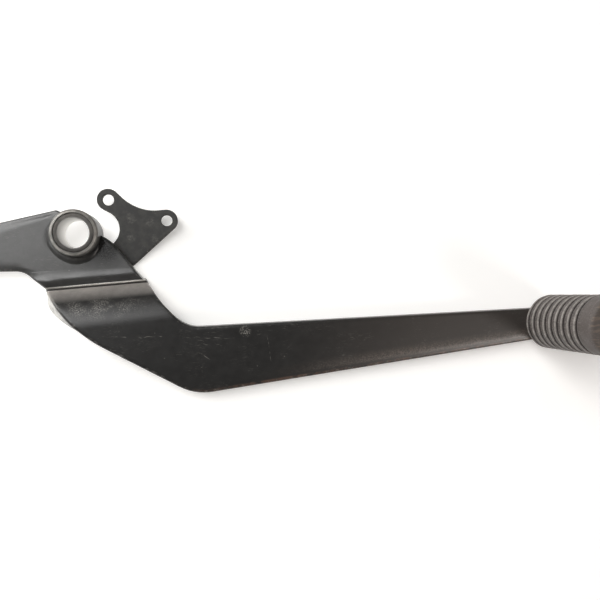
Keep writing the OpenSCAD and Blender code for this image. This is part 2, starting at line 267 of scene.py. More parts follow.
def rounded(corners, radii, count=6):
    """A profile through corners, each rounded by an arc that touches both of its sides."""
    corners = np.asarray(corners, float)
    parts = [corners[:1]]
    for before, corner, after, r in zip(corners[:-2], corners[1:-1], corners[2:], radii[1:-1]):
        a, b = unit(before - corner), unit(after - corner)
        half = math.acos(np.clip(a @ b, -1, 1)) / 2
        if r <= 0 or half > NEARLY_STRAIGHT:
            parts.append(corner[None])
            continue
        reach = r / math.tan(half)
        middle = corner + unit(a + b) * r / math.sin(half)
        first, last = corner + a * reach - middle, corner + b * reach - middle
        t = np.linspace(0, 1, count)[:, None]
        turn = math.pi - 2 * half
        parts.append(middle + (first * np.sin((1 - t) * turn) + last * np.sin(t * turn)) / math.sin(turn))
    parts.append(corners[-1:])
    return np.concatenate(parts)


# The pressed arm

def press_rows(sizes):
    """The outboard face across the offset, as a table. Its slope goes from level down to the dip
    angle on the dip's radius, turns sharply up on the crease's radius, stays at the rise angle and
    comes back to level on the crest's radius. Run and rise are the sums of cosine and sine of the
    slope times the length."""
    dip, rise = math.radians(sizes.dip_angle), math.radians(sizes.rise_angle)
    dip_r, crease_r, crest_r = sizes.dip_radius, sizes.crease_radius, sizes.crest_radius
    dip_drop = dip_r * (1 - math.cos(dip))
    crease_drop = crease_r * (math.cos(dip) - math.cos(rise))
    crest_rise = crest_r * (1 - math.cos(rise))
    straight = (sizes.offset + dip_drop - crease_drop - crest_rise) / math.sin(rise)
    ends = np.cumsum([-dip_r * dip, dip_r * dip, crease_r * (rise + dip), straight, crest_r * rise])
    s = np.unique(np.concatenate([np.linspace(a, b, 160) for a, b in zip(ends[:-1], ends[1:])]))
    slope = np.interp(s, ends, [0, -dip, rise, rise, 0])
    middle, step = (slope[1:] + slope[:-1]) / 2, np.diff(s)
    run = np.concatenate([[0], np.cumsum(np.cos(middle) * step)]) - dip_r * math.sin(dip)
    lift = np.concatenate([[0], np.cumsum(np.sin(middle) * step)])
    s = np.concatenate([[-200, ends[0] - 0.5], s, [400]])
    run = np.concatenate([[-200, ends[0] - 0.5], run, [run[-1] + 400 - s[-2]]])
    lift = np.concatenate([[0, 0], lift, [lift[-1]]])
    slope = np.concatenate([[0, 0], slope, [0]])
    return {"s": s, "run": run, "rise": lift, "slope": slope, "end": ends[-1], "start": ends[0],
            "spread": s[-1] - run[-1]}


class Press:
    """Places points of the flat blank on the pressed arm."""

    def __init__(self, sizes):
        self.rows = press_rows(sizes)
        self.thickness = sizes.plate_thickness
        turn = math.radians(sizes.crease_turn)
        self.along = np.array([math.cos(turn), math.sin(turn)])
        self.across = np.array([math.sin(turn), -math.cos(turn)])
        self.crease = np.array([sizes.crease_x, sizes.crease_y])

    def beyond(self, p):
        return (p - self.crease) @ self.across

    def beside(self, p):
        return (p - self.crease) @ self.along

    def on_row(self, s, beside):
        return self.crease + np.multiply.outer(s, self.across) + np.multiply.outer(beside, self.along)

    def laid_out(self, x, y, r):
        shift = self.rows["spread"] * self.across
        return (x + shift[0], y + shift[1], r)

    def __call__(self, p, depth):
        rows, s = self.rows, self.beyond(p)
        run, rise, slope = (np.interp(s, rows["s"], rows[k]) for k in ("run", "rise", "slope"))
        q = (self.crease + self.beside(p)[..., None] * self.along
             + (run + depth * np.sin(slope))[..., None] * self.across)
        return np.concatenate([q, (self.thickness + rise - depth * np.cos(slope))[..., None]], -1)


# The rod's eye, the bar's end and the tube's seat: radius of the outline there, radius of the
# hole and of its rolled rim
ROD, ROD_R, ROD_HOLE, ROD_ROLL = np.array([-60.0, -10.2]), 8.6, 4.0, 0.35
PEG, BAR_R, BAR_HOLE, BAR_ROLL = np.array([244.5, -45.5]), 8.0, 5.0, 0.3
SEAT_R = 11.1
# A distance past the crease where its ridge and furrow have faded out, as they have at the holes
BAR_CROSS = 50.0
# Worn edges of the lower (1) and upper (-1) rim: places along X, wear there, how far it reaches in
EDGE_WEAR = {1: ([-22, -16, 60, 130, 235, 250], [0.3, 0, 0, 0.4, 0.4, 0], 4.5),
             -1: ([-66, -50, -12, -5], [0.3, 0.9, 0.9, 0], 6.0)}


def arm_outline(press):
    """The blank's outline, opened at the lever's tip: a belt round twelve circles, with the round
    seat of the tube cut out of it."""
    rings = [(-1.3, -24, 26.5), (-9.6, 10, 1.4), (*ROD, ROD_R), (-28.3, -27.4, -9.2),
             (-17.2, -28.2, -2.5), (43.5, -5.2, 62), press.laid_out(60.4, -51.2, 26),
             press.laid_out(*PEG, BAR_R), press.laid_out(57.9, -28.8, -16),
             (71, -14.9, -38), (32.2, -24.3, 1.3), (31.7, -20.3, -2)]
    line = open_at(belt(rings), ROD - [ROD_R, 0])
    inside = np.linalg.norm(line, axis=1) < SEAT_R
    first, last = np.flatnonzero(inside)[[0, -1]]
    a, b = line[first - 1], line[last + 1]
    start, end = (math.degrees(math.atan2(p[1], p[0])) for p in (a, b))
    seat = arc((0, 0), SEAT_R, start, end - 360 if end > start else end, 161)
    if not first:
        raise RuntimeError("The tube's seat lies at the start of the outline")
    return np.concatenate([line[:first], seat, line[last + 1:]])


def square_to(rim, at, sign):
    """Unit vectors square to a line at given distances, on its left for sign 1 and on its right
    for sign -1, from the line a little before and a little after."""
    t = along_line(rim, at + 0.25) - along_line(rim, at - 0.25)
    t /= np.maximum(np.linalg.norm(t, axis=1), 1e-9)[:, None]
    return sign * np.stack([-t[:, 1], t[:, 0]], -1)


def arm_relief(cross, beside, points):
    """Height of the outboard face above the clean pressing: a low ridge pushed up before the dip,
    with a small hump at its left end, a thin raised line with a narrow furrow after it at the
    crease, both wandering a little, and a slight unevenness all over. Each of them is a bell curve
    of the distance across it."""
    x, y = points[..., 0], points[..., 1]
    wander = 0.16 * ripple(beside, 0.0, 3, 13.0)
    ridge = 0.40 * np.exp(-((cross + 4.5) / 1.7) ** 2) * (1 + 0.25 * ripple(beside, 0.0, 4, 18.0))
    hump = 0.60 * np.exp(-((x + 13.2) / 3.2) ** 2 - ((y + 23.8) / 2.4) ** 2)
    line = 0.12 * np.exp(-((cross + 0.5 + wander) / 0.32) ** 2)
    furrow = -0.25 * np.exp(-((cross - 0.3 + wander) / 0.28) ** 2)
    uneven = 0.02 * ripple(x, y, 2, 26.0)
    return ridge + hump + line + furrow + uneven


# The halves of a plate, along its lower and its upper rim: 1 where the inside is on the left
SIDES = (1, -1)
# Steps between the ties of the arm's spine and rim, before and after the offset
FIRST_STEPS, LAST_STEPS = (10, 24, 26, 26, 18, 10, 14, 14, 10, 16), (26, 110, 24, 10)


def arm_rows(press, rims, row_s):
    """Where straight rows along the crease meet both rims: the distance beside the crease's
    middle, and the distance along the rim."""
    met = []
    for rim in rims:
        s = press.beyond(rim)
        near = (rim[:, 0] > -40) & (rim[:, 0] < 75)
        first = np.flatnonzero(near & (s > row_s[0] - 0.6))[0]
        last = np.flatnonzero(near & (s > row_s[-1] + 0.6) & (np.arange(len(s)) > first))[0]
        part = slice(first, last + 1)
        s_up = np.maximum.accumulate(s[part])
        met.append([np.interp(row_s, s_up, values[part]) for values in (press.beside(rim), lengths(rim))])
    return zip(*met)


def arm_sheets(sizes):
    """The arm as two half plates that meet on a spine from the lever's tip to the bar's tip, with
    the walls of its two holes. Across the offset each station is one straight row along the
    crease, so the crease stays sharp."""
    press = Press(sizes)
    bar = np.array(press.laid_out(*PEG, BAR_R)[:2])
    tip, bar_tip = ROD - [ROD_R, 0], bar + [BAR_R, 0]
    rims = two_rims(arm_outline(press), bar_tip)
    row_s = np.unique(np.concatenate([np.linspace(-8, -3, 16), np.linspace(-3, 3.2, 66),
                                      np.linspace(3.2, 27, 60)]))
    (low_side, up_side), rim_rows = arm_rows(press, rims, row_s)
    rows = press.on_row(row_s, low_side + np.interp(row_s, [-8, 27], [0.8, 0.5]) * (up_side - low_side))
    rod_lip, bar_lip = ROD_HOLE + ROD_ROLL, BAR_HOLE + BAR_ROLL
    inset = [sizes.edge_radius, 0]
    before = [(-40, -8), (-28, -4), (-19, -8), (-12, -14), (0, -14.5), (10, -13.5), (13, -14)]
    after = (62, -66.5)
    first_at = [tip, ROD - [rod_lip, 0], ROD + [rod_lip, 0], *before, rows[0]]
    last_at = [rows[-1], after, bar - [bar_lip, 0], bar + [bar_lip, 0], bar_tip]
    seat_ties = [on_arc((0, 0), SEAT_R, a) for a in (121.8, 190, 225, 270, 318, 357.2)]
    first_ties = ([on_arc(ROD, ROD_R, 210), (-51, -18.8), (-41, -18.8), (-33, -18.6), (-28.5, -18.2),
                   (-27, -18.4), (-25.5, -18.7), (-24.5, -19.1), (-24, -19.4)],
                  [on_arc(ROD, ROD_R, 150), (-51, -0.2), (-33, 5.2), *seat_ties])
    last_ties = ([(63, -82), bar + [-9, -8.6], on_arc(bar, BAR_R, -30)],
                 [(58.3, -49.7), bar + [-9, 8.3], on_arc(bar, BAR_R, 30)])
    sheets = []
    for rim, at_rows, sign, firsts, lasts in zip(rims, rim_rows, SIDES, first_ties, last_ties):
        around = 180 + 180 * sign
        first_spine = fine_line(np.concatenate([[tip + inset], arc(ROD, rod_lip, 180, around, 25), before,
                                                rows[:1]]))
        last_spine = fine_line(np.concatenate([rows[-1:], [after], arc(bar, bar_lip, 180, around, 25),
                                               [bar_tip - inset]]))
        row_ends = along_line(rim, at_rows[[0, -1]])
        a_spine, a_rim = tied_stations(first_spine, rim, first_at, [tip, *firsts, row_ends[0]], FIRST_STEPS)
        c_spine, c_rim = tied_stations(last_spine, rim, last_at, [row_ends[1], *lasts, bar_tip], LAST_STEPS)
        inner = np.concatenate([along_line(first_spine, a_spine)[:-1], rows,
                                along_line(last_spine, c_spine)[1:]])
        at = np.concatenate([a_rim[:-1], at_rows, c_rim[1:]])
        edge = along_line(rim, at)
        square = square_to(rim, at, sign)
        square[[0, -1]] = [1, 0], [-1, 0]
        s = press.beyond(edge)
        station = np.arange(len(s)) - (len(a_rim) - 1)
        on_rows = (station >= 0) & (station < len(row_s))
        rowed = np.interp(s, [-8, -6, 24.6, 27], [0, 1, 1, 0]) * on_rows
        on_row = press.along / (sign * np.maximum(np.abs(square @ press.along), 0.45))[:, None]
        inward = square + rowed[:, None] * (on_row - square)
        roll = np.where(np.linalg.norm(edge, axis=1) < SEAT_R + 0.1, 0.15, sizes.edge_radius)
        end = press.rows["end"]
        flare = sizes.flare * np.maximum(0, np.sin(math.pi * s / (1.3 * end))) ** 0.6
        flare *= np.interp(s, [-1, 0, end, end + 1.5], [0, 1, 1, 0]) * (rowed > 0) * (sign > 0)
        shift = flare[:, None] * np.append(press.along, 0)
        points, away, face = plate_half(inner, edge, inward, roll, sizes.plate_thickness, press, shift)
        flat_s = press.beyond(points[..., :2]) + np.where(station < 0, 0, press.rows["spread"])[:, None]
        cross = np.where(on_rows[:, None], press.beyond(inner)[:, None], flat_s)
        relief = arm_relief(cross, press.beside(points[..., :2]), points)
        places, wear, reach = EDGE_WEAR[sign]
        reach = np.clip(away[:, :1], 1e-3, reach)
        relief -= np.interp(edge[:, 0], places, wear)[:, None] * np.clip(1 - away / reach, 0, 1) ** 2.4
        points[..., 2] += relief * np.clip(1 - 2 * face, 0, 1)
        marks = {"away": away, "face": face, "cross": cross, "low": float(sign > 0)}
        sheets.append(grid(points, marks, flip=sign < 0))
    for centre, r, lip in ((ROD, ROD_HOLE, ROD_ROLL), (bar, BAR_HOLE, BAR_ROLL)):
        wall, down = hole_wall(centre, r, lip, sizes.plate_thickness, press, 180, 48)
        wall[..., 2] += arm_relief(BAR_CROSS, 0.0, wall) * np.clip(1 - 2 * down, 0, 1)
        sheets.append(grid(wall, {"away": 0.0, "face": down, "cross": BAR_CROSS}, closed_rows=True))
    return sheets


# The spring bracket, the pivot, the welds and the foot peg

UPPER_EAR, FRONT_EAR = np.array([13.8, 17.4]), np.array([42.1, 7.6])
EAR_R = 5.5
BRACKET_ROLL = 0.3
BRACKET_STEPS = (6, 20, 8, 12, 10, 10, 8, 12, 10, 24, 20, 8)


def bracket_sheets(sizes):
    """The bracket as two half plates that meet on a spine through both ears, with the walls of
    its holes. Its sheet is a little bowed."""
    rings = [(*FRONT_EAR, EAR_R), (35.595, 34.577, -22), (*UPPER_EAR, EAR_R), (9.808, 2.988, -9.2),
             (13, -12.5, 3), (24, -12.7, 3)]
    axis = unit(FRONT_EAR - UPPER_EAR)
    start, end = UPPER_EAR - EAR_R * axis, FRONT_EAR + EAR_R * axis
    hole_r, thickness = sizes.spring_hole / 2, sizes.bracket_thickness
    lip_r = hole_r + BRACKET_ROLL
    turn0 = math.degrees(math.atan2(-axis[1], -axis[0]))
    middle = [(20.5, 12.5), (24, 10.4), (25.7, 9.35), (27.5, 8.2), (29, 8.0), (32, 7.8), (34, 7.6)]
    spine_at = [start, UPPER_EAR - lip_r * axis, UPPER_EAR + lip_r * axis, *middle,
                FRONT_EAR - lip_r * axis, FRONT_EAR + lip_r * axis, end]
    ties = ([(13.4, 11.5), (17.0, 8.7), (19, 3), (18, -1.5), (10.6, -10.7), (13, -15.5), (24, -15.7),
             (26.4, -14.4), (40.5, -1.9), on_arc(FRONT_EAR, EAR_R, -45)],
            [(19.6, 19.5), (22.5, 17), (25.9, 15.1), (27.5, 14.2), (29, 13.5), (30.5, 13.0), (33.2, 12.7),
             (35, 12.6), (38.6, 12.8), on_arc(FRONT_EAR, EAR_R, 10)])

    def place(p, depth):
        bow = 0.12 * np.sin(p[..., 0] / 9.0) * np.clip(p[..., 1] / 12, 0, 1)
        return np.concatenate([p, (-depth + bow)[..., None]], -1)

    sheets = []
    for rim, sign, tied in zip(two_rims(open_at(belt(rings), start), end), SIDES, ties):
        ears = [arc(ear, lip_r, turn0, turn0 + 180 * sign, 21) for ear in (UPPER_EAR, FRONT_EAR)]
        spine = fine_line(np.concatenate([[start + BRACKET_ROLL * axis], ears[0], middle[::3], ears[1],
                                          [end - BRACKET_ROLL * axis]]))
        on_rim = [start, on_arc(UPPER_EAR, EAR_R, turn0 + 35 * sign), *tied, end]
        on_spine, on_rim = tied_stations(spine, rim, spine_at, on_rim, BRACKET_STEPS)
        inward = square_to(rim, on_rim, sign)
        inward[[0, -1]] = axis, -axis
        roll = np.full(len(on_rim), BRACKET_ROLL)
        points, away, face = plate_half(along_line(spine, on_spine), along_line(rim, on_rim), inward, roll,
                                        thickness, place, np.zeros((len(on_rim), 3)), cols=(9, 4, 3))
        sheets.append(grid(points, {"away": away, "face": face}))
    for ear in (UPPER_EAR, FRONT_EAR):
        wall, down = hole_wall(ear, hole_r, BRACKET_ROLL, thickness, place, turn0, 40)
        sheets.append(grid(wall, {"away": 0.0, "face": down}, closed_rows=True))
    return sheets


def node_box(node):
    """Corners of a node's box in millimetres."""
    return [np.array([*corner]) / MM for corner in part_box(node)]


def turned_wall(bottom, top, bore, outer, radii, arc_points, step, inside):
    """A ring's closed section, from a place inside the bottom face out, up, in and down again.
    The radii round its outer bottom, outer top, bore top and bore bottom corners."""
    start = (bore + inside, bottom)
    side = rounded([start, (outer, bottom), (outer, top), (bore, top), (bore, bottom), start],
                   [0, *radii, 0], arc_points)[:-1]
    return fine_line(np.concatenate([side, side[:1]]), step)[:-1]


def ring_sheets(fill, away, count, wobble=None):
    """A closed section carried round the pivot axis, with values for its materials."""
    return [grid(spun(fill, (0, 0), count, wobble), {"away": away[None, :], "lift": fill[None, :, 1]},
                 closed_rows=True, closed_cols=True)]


def tube_sheets(sizes):
    """The pivot tube: a closed section of its wall, with worn round edges, carried round the
    bore. Height and radius wander a little at the edges, where it has been knocked."""
    (_, _, bottom), (outer, _, top) = node_box("pivot_tube")
    bore = node_box("pivot_bush")[1][0]
    fill = turned_wall(bottom, top, bore, outer, [1.1, sizes.tube_round, 0.3, 0.3], 9, 1.2, 0.6)

    def wobble(angle, radius, height):
        knock = ripple(9 * np.cos(angle), 9 * np.sin(angle), 11, 11.0)
        near_top = np.clip((height - top + 2.2) / 2.2, 0, 1) * np.clip((radius - bore - 0.3) / 1.2, 0, 1)
        return radius - 0.04 * near_top * (1 + knock), height - 0.05 * near_top * (1 + knock)

    to_end = np.minimum(np.abs(fill[:, 1] - top), np.abs(fill[:, 1] - bottom))
    return ring_sheets(fill, np.abs(fill[:, 0] - outer + 0.8) + to_end, 160, wobble)


def bush_sheets(sizes):
    """The bush: a closed section of its wall, with rounded mouths, carried round the bore."""
    (_, _, bottom), (outer, _, top) = node_box("pivot_bush")
    bore = sizes.bush_bore / 2
    fill = turned_wall(bottom, top, bore, outer, [0.3, 0.35, 0.25, 0.5], 6, 1.0, 0.8)
    return ring_sheets(fill, np.abs(fill[:, 0] - bore), 128)


def bead_section(count=13):
    """A bead's section in the corner of a wall and a floor, for a leg of 1: a hollow face from the
    wall to the floor, a fifth of it a straight line and the rest a quarter circle, and the corner
    itself. Also returns how far round the face each point is, from 0 to 1."""
    t = np.linspace(0, 1, count)
    quarter = math.pi / 2 * t
    out, up = 0.2 * t + 0.8 * (1 - np.cos(quarter)), 0.2 * (1 - t) + 0.8 * (1 - np.sin(quarter))
    corner = [[0.5, -0.02], [-0.02, -0.02], [-0.02, 0.5]]
    return np.concatenate([np.stack([out, up], -1), corner]), np.append(t, [0.5, 0.5, 0.5])


def bead_sheet(path, out, up, leg, waves, seed, taper, ring=False):
    """A weld bead: its section carried along a path. The leg swells and shrinks in waves along
    the path, which lag behind in the middle of the bead, as cooled ripples do. Over the taper
    length it shrinks to a round end, by the square of the share still to go. A ring runs back
    into its own start."""
    section, t = bead_section()
    run = lengths(path)
    total = run[-1] + (np.linalg.norm(path[0] - path[-1]) if ring else 0)
    lag = 0.9 * leg * np.sin(math.pi * t)
    phase = (run[:, None] + lag[None, :]) / (total / max(1, round(total / waves)))
    wave = 0.5 - 0.5 * np.cos(2 * math.pi * phase)
    uneven = ripple(path[:, :1], path[:, 1:2] + t[None, :] * leg, seed, 6.0)
    end = np.clip(np.minimum(run, total - run) / taper, 0, 1)
    end = np.ones(len(run)) if ring else np.clip(1 - (1 - end) ** 2, 0, 1)
    size = leg * end[:, None] * (0.97 + 0.012 * wave + 0.025 * uneven)
    points = (path[:, None] + out[:, None] * (section[None, :, :1] * size[..., None])
              + up * (section[None, :, 1:] * size[..., None]))
    return grid(points, {"bead": t[None, :], "lift": wave}, closed_rows=ring, closed_cols=True)


def round_bead(radius, centre, height, leg, start, end, up, seed, waves=1.7, taper=5.0):
    """A bead round a wall of the given radius, from one angle to another."""
    count = int(abs(end - start) * math.pi / 180 * radius / 0.22)
    ring = abs(end - start) >= 360
    angle = np.radians(np.linspace(start, end, count, endpoint=not ring))
    out = np.stack([np.cos(angle), np.sin(angle), 0 * angle], -1)
    path = radius * out + [centre[0], centre[1], height]
    return bead_sheet(path, out, np.array([0, 0, up]), leg, waves, seed, taper, ring)


def straight_bead(start, end, out, leg, up, seed, waves=1.3, taper=1.2):
    """A bead along a straight edge."""
    start, end = np.append(start, 0.0), np.append(end, 0.0)
    path = start + (end - start) * np.linspace(0, 1, 60)[:, None]
    outs = np.repeat(np.append(out, 0.0)[None], 60, 0)
    return bead_sheet(path, outs, np.array([0, 0, up]), leg, waves, seed, taper)


def stud_sheets(sizes):
    """The peg's stud: spigot, body and head turned from one bar, with a domed riveted end."""
    (_, _, end), (_, _, top) = node_box("peg_stud")
    bar_top = sizes.plate_thickness + sizes.offset
    profile = rounded([(0, end - 0.25), (2.2, end - 0.2), (BAR_HOLE, end + 0.55), (BAR_HOLE, bar_top),
                       (7, bar_top), (7, top - 4), (9, top - 4), (9, top - 2), (7, top), (0, top)],
                      [0, 6, 0.5, 0.2, 0.2, 0.3, 0.3, 0.3, 0.5, 0], 5)
    profile = fine_line(profile, 2.0)
    return [grid(spun(profile, PEG, 72), {"lift": profile[None, :, 1]}, closed_rows=True)]


def rubber_sheets(sizes):
    """The peg's rubber: the profile of its ribs, grooves, collar and rounded end, and of its bore
    with the pocket for the stud's head, carried round the peg's axis. The ribs are worn unevenly
    and the end is a little sunk. The outside leans sideways, evenly more towards its end."""
    (left, _, bottom), (right, _, top) = node_box("peg_rubber")
    outer = (right - left) / 2
    bore, pocket = 7.05, 9.05
    first, pitch = sizes.groove_start, sizes.groove_pitch
    half, deep = sizes.groove_width / 2, sizes.groove_depth
    corners, radii = [(bore, bottom), (outer, bottom)], [0, 0.5]
    for k in range(sizes.groove_count):
        z = bottom + first + k * pitch
        corners += [(outer, z - half), (outer - deep, z - half), (outer - deep, z + half), (outer, z + half)]
        radii += [0.55, 0.3, 0.3, 0.55]
    corners += [(outer, top), (0, top)]
    radii += [2.3, 0]
    skin = fine_line(rounded(corners, radii, 5), 0.7)
    inside = np.array([(bore, top - 9), (pocket, top - 9), (pocket, top - 5 + 0.05), (0, top - 5 + 0.05)])

    def wobble(angle, radius, height):
        x, y = radius * np.cos(angle), radius * np.sin(angle)
        rim = np.clip((radius - outer + deep) / deep, 0, 1)
        worn = np.clip(ripple(x * 0.7, height * 1.3 + y * 0.6, 5, 5.0), 0, 1)
        small = ripple(angle * 14, height * 2.0, 6, 2.4)
        end = np.clip((height - top + 0.4) / 0.4, 0, 1) * np.clip(1 - radius / outer, 0, 1)
        sink = 0.5 * end * (1 + 0.5 * ripple(x, y, 8, 9.0))
        return radius - rim * (0.12 * worn + 0.035 * (1 + small)), height - sink

    lift = skin[None, :, 1] - bottom
    before = first + np.arange(sizes.groove_count) * pitch - half - 0.6
    # Band at each rib's outboard edge, which the finish paints pale: partly rubbing, partly a painted
    # highlight.
    rubbed = np.exp(-((lift[..., None] - before) / 0.5) ** 2).max(-1)
    sunk = np.clip((outer - skin[None, :, 0]) / deep, 0, 1) * (skin[None, :, 1] < top - 2.6)
    marks = {"deep": sunk, "lift": lift, "rubbed": rubbed}
    turned = spun(skin, PEG, 224, wobble)
    reach = np.linalg.norm(turned[..., :2] - PEG, axis=-1)
    turned[..., 1] += sizes.peg_lean * (0.2 * np.clip((reach - bore) / 3, 0, 1)
                                        + np.clip((turned[..., 2] - bottom) / (top - bottom), 0, 1))
    outside = grid(turned, marks, closed_rows=True)
    line = np.concatenate([[(bore, bottom)], inside])
    hidden = grid(spun(fine_line(line, 6.0), PEG, 224), {"deep": 1.0, "lift": 0.0}, closed_rows=True)
    return [outside, hidden]


# Materials

class Net:
    """Lays nodes in a tree. Unless said otherwise, a method returns the new node's output socket."""

    def __init__(self, tree):
        self.tree = tree

    def fill(self, node, values):
        """Links or sets inputs of a node, which it returns. None leaves an input as it is."""
        for key, value in values:
            if isinstance(value, bpy.types.NodeSocket):
                self.tree.links.new(value, node.inputs[key])
            elif value is not None:
                node.inputs[key].default_value = value
        return node

    def node(self, kind, values=(), **settings):
        """A new shader node, with its inputs by name or in order, and its settings."""
        made = self.tree.nodes.new("ShaderNode" + kind)
        for key, value in settings.items():
            setattr(made, key, value)
        return self.fill(made, values.items() if isinstance(values, dict) else enumerate(values))

    def math(self, operation, first, *rest):
        """An operation on two values, or on the result so far and each further value."""
        for value in rest:
            first = self.node("Math", (first, value), operation=operation).outputs[0]
        return first

    def times(self, *values):
        return self.math("MULTIPLY", *values)

    def top(self, *masks):
        """The strongest of several masks."""
        return self.math("MAXIMUM", *masks)

    def vector(self, operation, *values, out=0):
        return self.node("VectorMath", values, operation=operation).outputs[out]

    def gap(self, at, point):
        return self.vector("DISTANCE", at, point, out=1)

    def dot(self, first, second):
        return self.vector("DOT_PRODUCT", first, second, out=1)

    def scaled(self, vector, factor):
        return self.node("VectorMath", {0: vector, 3: factor}, operation="SCALE").outputs[0]

    def place(self):
        """Object coordinates in millimetres."""
        return self.vector("MULTIPLY", self.node("TexCoord").outputs["Object"], (1000, 1000, 1000))

    def x_of(self, at):
        return self.node("SeparateXYZ", (at,)).outputs[0]

    def turned(self, at, turn=(0, 0, 0), scale=(1, 1, 1)):
        return self.node("Mapping", {"Vector": at, "Rotation": turn, "Scale": scale}).outputs[0]

    def noise(self, at, scale, detail=3, rough=0.55):
        return self.node("TexNoise", {"Vector": at, "Scale": scale, "Detail": detail,
                                      "Roughness": rough}).outputs[0]

    def drift(self, at, scale, detail=2):
        """Noise with three values, to shift a place by."""
        return self.node("TexNoise", {"Vector": at, "Scale": scale, "Detail": detail}).outputs[1]

    def ramp(self, value, low, high, start=0, end=1, smooth=True):
        return self.node("MapRange", (value, low, high, start, end),
                         interpolation_type="SMOOTHSTEP" if smooth else "LINEAR").outputs[0]

    def patches(self, at, noise, *ramp):
        """Noise, given by its scale, detail and roughness, cut to a mask."""
        return self.ramp(self.noise(at, *noise), *ramp)

    def layers(self, under, *coats):
        """Colours laid over the first, each given with its share before it."""
        for share, over in coats:
            first, second = (c if isinstance(c, bpy.types.NodeSocket) else (*c, 1) for c in (under, over))
            under = self.node("Mix", {0: share, 6: first, 7: second}, data_type="RGBA").outputs[2]
        return under

    def mark(self, name):
        return self.node("Attribute", attribute_name=name).outputs["Fac"]

    def bump(self, height, strength, distance):
        return self.node("Bump", {"Strength": strength, "Distance": distance * MM,
                                  "Height": height}).outputs[0]

    def effect(self, name, **values):
        """Places a shared effect with its own values and returns its outputs by name."""
        made = self.tree.nodes.new("ShaderNodeGroup")
        made.node_tree = bpy.data.node_groups[name]
        return self.fill(made, values.items()).outputs

    def scratches(self, at, turn, fineness, amount):
        return self.effect("scratches", At=at, Turn=(0, 0, turn), Fineness=fineness, Amount=amount)[0]


def new_effect(name, lay, gives, **takes):
    """Builds a shared effect: a node group with named inputs and outputs, laid by a function."""
    tree = bpy.data.node_groups.new(name, "ShaderNodeTree")
    for key, value in takes.items():
        kind = "NodeSocketVector" if isinstance(value, tuple) else "NodeSocketFloat"
        tree.interface.new_socket(key, in_out="INPUT", socket_type=kind).default_value = value
    for key in gives:
        tree.interface.new_socket(key, in_out="OUTPUT", socket_type="NodeSocketFloat")
    ins, outs = tree.nodes.new("NodeGroupInput"), tree.nodes.new("NodeGroupOutput")
    for key, value in zip(gives, lay(Net(tree), ins.outputs)):
        tree.links.new(value, outs.inputs[key])


def lay_grain(net, given):
    """Fine pits and swells of a sprayed or blackened surface."""
    fine = net.noise(given["At"], net.math("DIVIDE", 1, given["Size"]), 4, 0.6)
    broad = net.noise(given["At"], net.math("DIVIDE", 0.12, given["Size"]), 3, 0.5)
    return [net.math("ADD", net.times(fine, 0.7), net.times(broad, 0.3)), broad]


def lay_edge_wear(net, given):
    """Finish rubbed off along the edges: strongest at the edge, broken up by noise."""
    broken = net.noise(given["At"], net.math("DIVIDE", 1, given["Patch"]), 5, 0.65)
    close = net.ramp(given["Away"], given["Reach"], 0)
    return [net.ramp(net.math("ADD", broken, net.times(close, given["Amount"])), 0.78, 0.96)]


def lay_scratches(net, given):
    """Thin scratches in one direction: noise stretched along it, with only its peaks kept, and
    gathered in patches by a broad noise."""
    at = given["At"]
    bent = net.vector("ADD", at, net.vector("MULTIPLY", net.drift(at, 0.12), (4, 4, 4)))
    lines = net.noise(net.turned(bent, given["Turn"], (0.09, 1.6, 1.6)), given["Fineness"], 2, 0.5)
    gathered = net.patches(at, (0.09, 3), 0.46, 0.66)
    return [net.times(net.ramp(lines, 0.62, 0.74), gathered, given["Amount"])]


def lay_stroke(net, given):
    """One scratch: the distance to the line between two points, which bows and wavers, less than
    its width and broken up along it."""
    sway = net.scaled(net.vector("SUBTRACT", net.drift(given["At"], 0.22), (0.5, 0.5, 0.5)), given["Waver"])
    span = net.vector("SUBTRACT", given["End"], given["Start"])
    rel = net.vector("SUBTRACT", net.vector("ADD", given["At"], sway), given["Start"])
    share = net.math("DIVIDE", net.dot(rel, span), net.dot(span, span))
    held = net.node("Clamp", (share, 0, 1)).outputs[0]
    broken = net.patches(given["At"], (0.3, 4, 0.6), 0.35, 0.6, 0.2, 1)
    ends = net.times(net.ramp(held, 0, 0.2), net.ramp(held, 1, 0.8))
    return [net.times(net.ramp(net.gap(rel, net.scaled(span, held)), given["Width"], 0), broken,
                      net.ramp(ends, 0, 1, 0.3, 1))]


def lay_specks(net, given):
    """Small bright flecks, where the finish is chipped: the middles of scattered cells."""
    scale = net.math("DIVIDE", 1, given["Spacing"])
    cells = net.node("TexVoronoi", {"Vector": given["At"], "Scale": scale}, feature="F1").outputs
    which = net.node("SeparateColor", (cells["Color"],)).outputs[0]
    middle = net.ramp(cells["Distance"], given["Size"], 0)
    return [net.times(net.math("LESS_THAN", which, given["Share"]), middle)]


def build_effects():
    at = (0, 0, 0)
    new_effect("grain", lay_grain, ["Grain", "Broad"], At=at, Size=1)
    new_effect("edge_wear", lay_edge_wear, ["Bare"], At=at, Away=1, Reach=1, Amount=0.4, Patch=2)
    new_effect("scratches", lay_scratches, ["Scratch"], At=at, Turn=at, Fineness=1.5, Amount=1)
    new_effect("stroke", lay_stroke, ["Line"], At=at, Start=at, End=(1, 0, 0), Width=0.2, Waver=0.4)
    new_effect("specks", lay_specks, ["Speck"], At=at, Spacing=4, Share=0.2, Size=0.1)


def new_finish(name, lay, **plain):
    """A material of one Principled shader. lay(net) gives what changes over the surface; plain
    values are set on the shader's own sockets."""
    material = bpy.data.materials.new(name)
    material.use_nodes = True
    net = Net(material.node_tree)
    net.tree.nodes.clear()
    shader = net.node("BsdfPrincipled", {key.replace("_", " "): value for key, value in plain.items()})
    net.node("OutputMaterial", {"Surface": shader.outputs[0]})
    net.fill(shader, lay(net).items())
    return material


# Middle of the tube's shadow on the plate, round which the plate and weld are painted darker as a painted
# shadow, and of the chip on the bar
TUBE_SHADOW, CHIP = (13, -6, 7), (79.8, -47.3, 19)
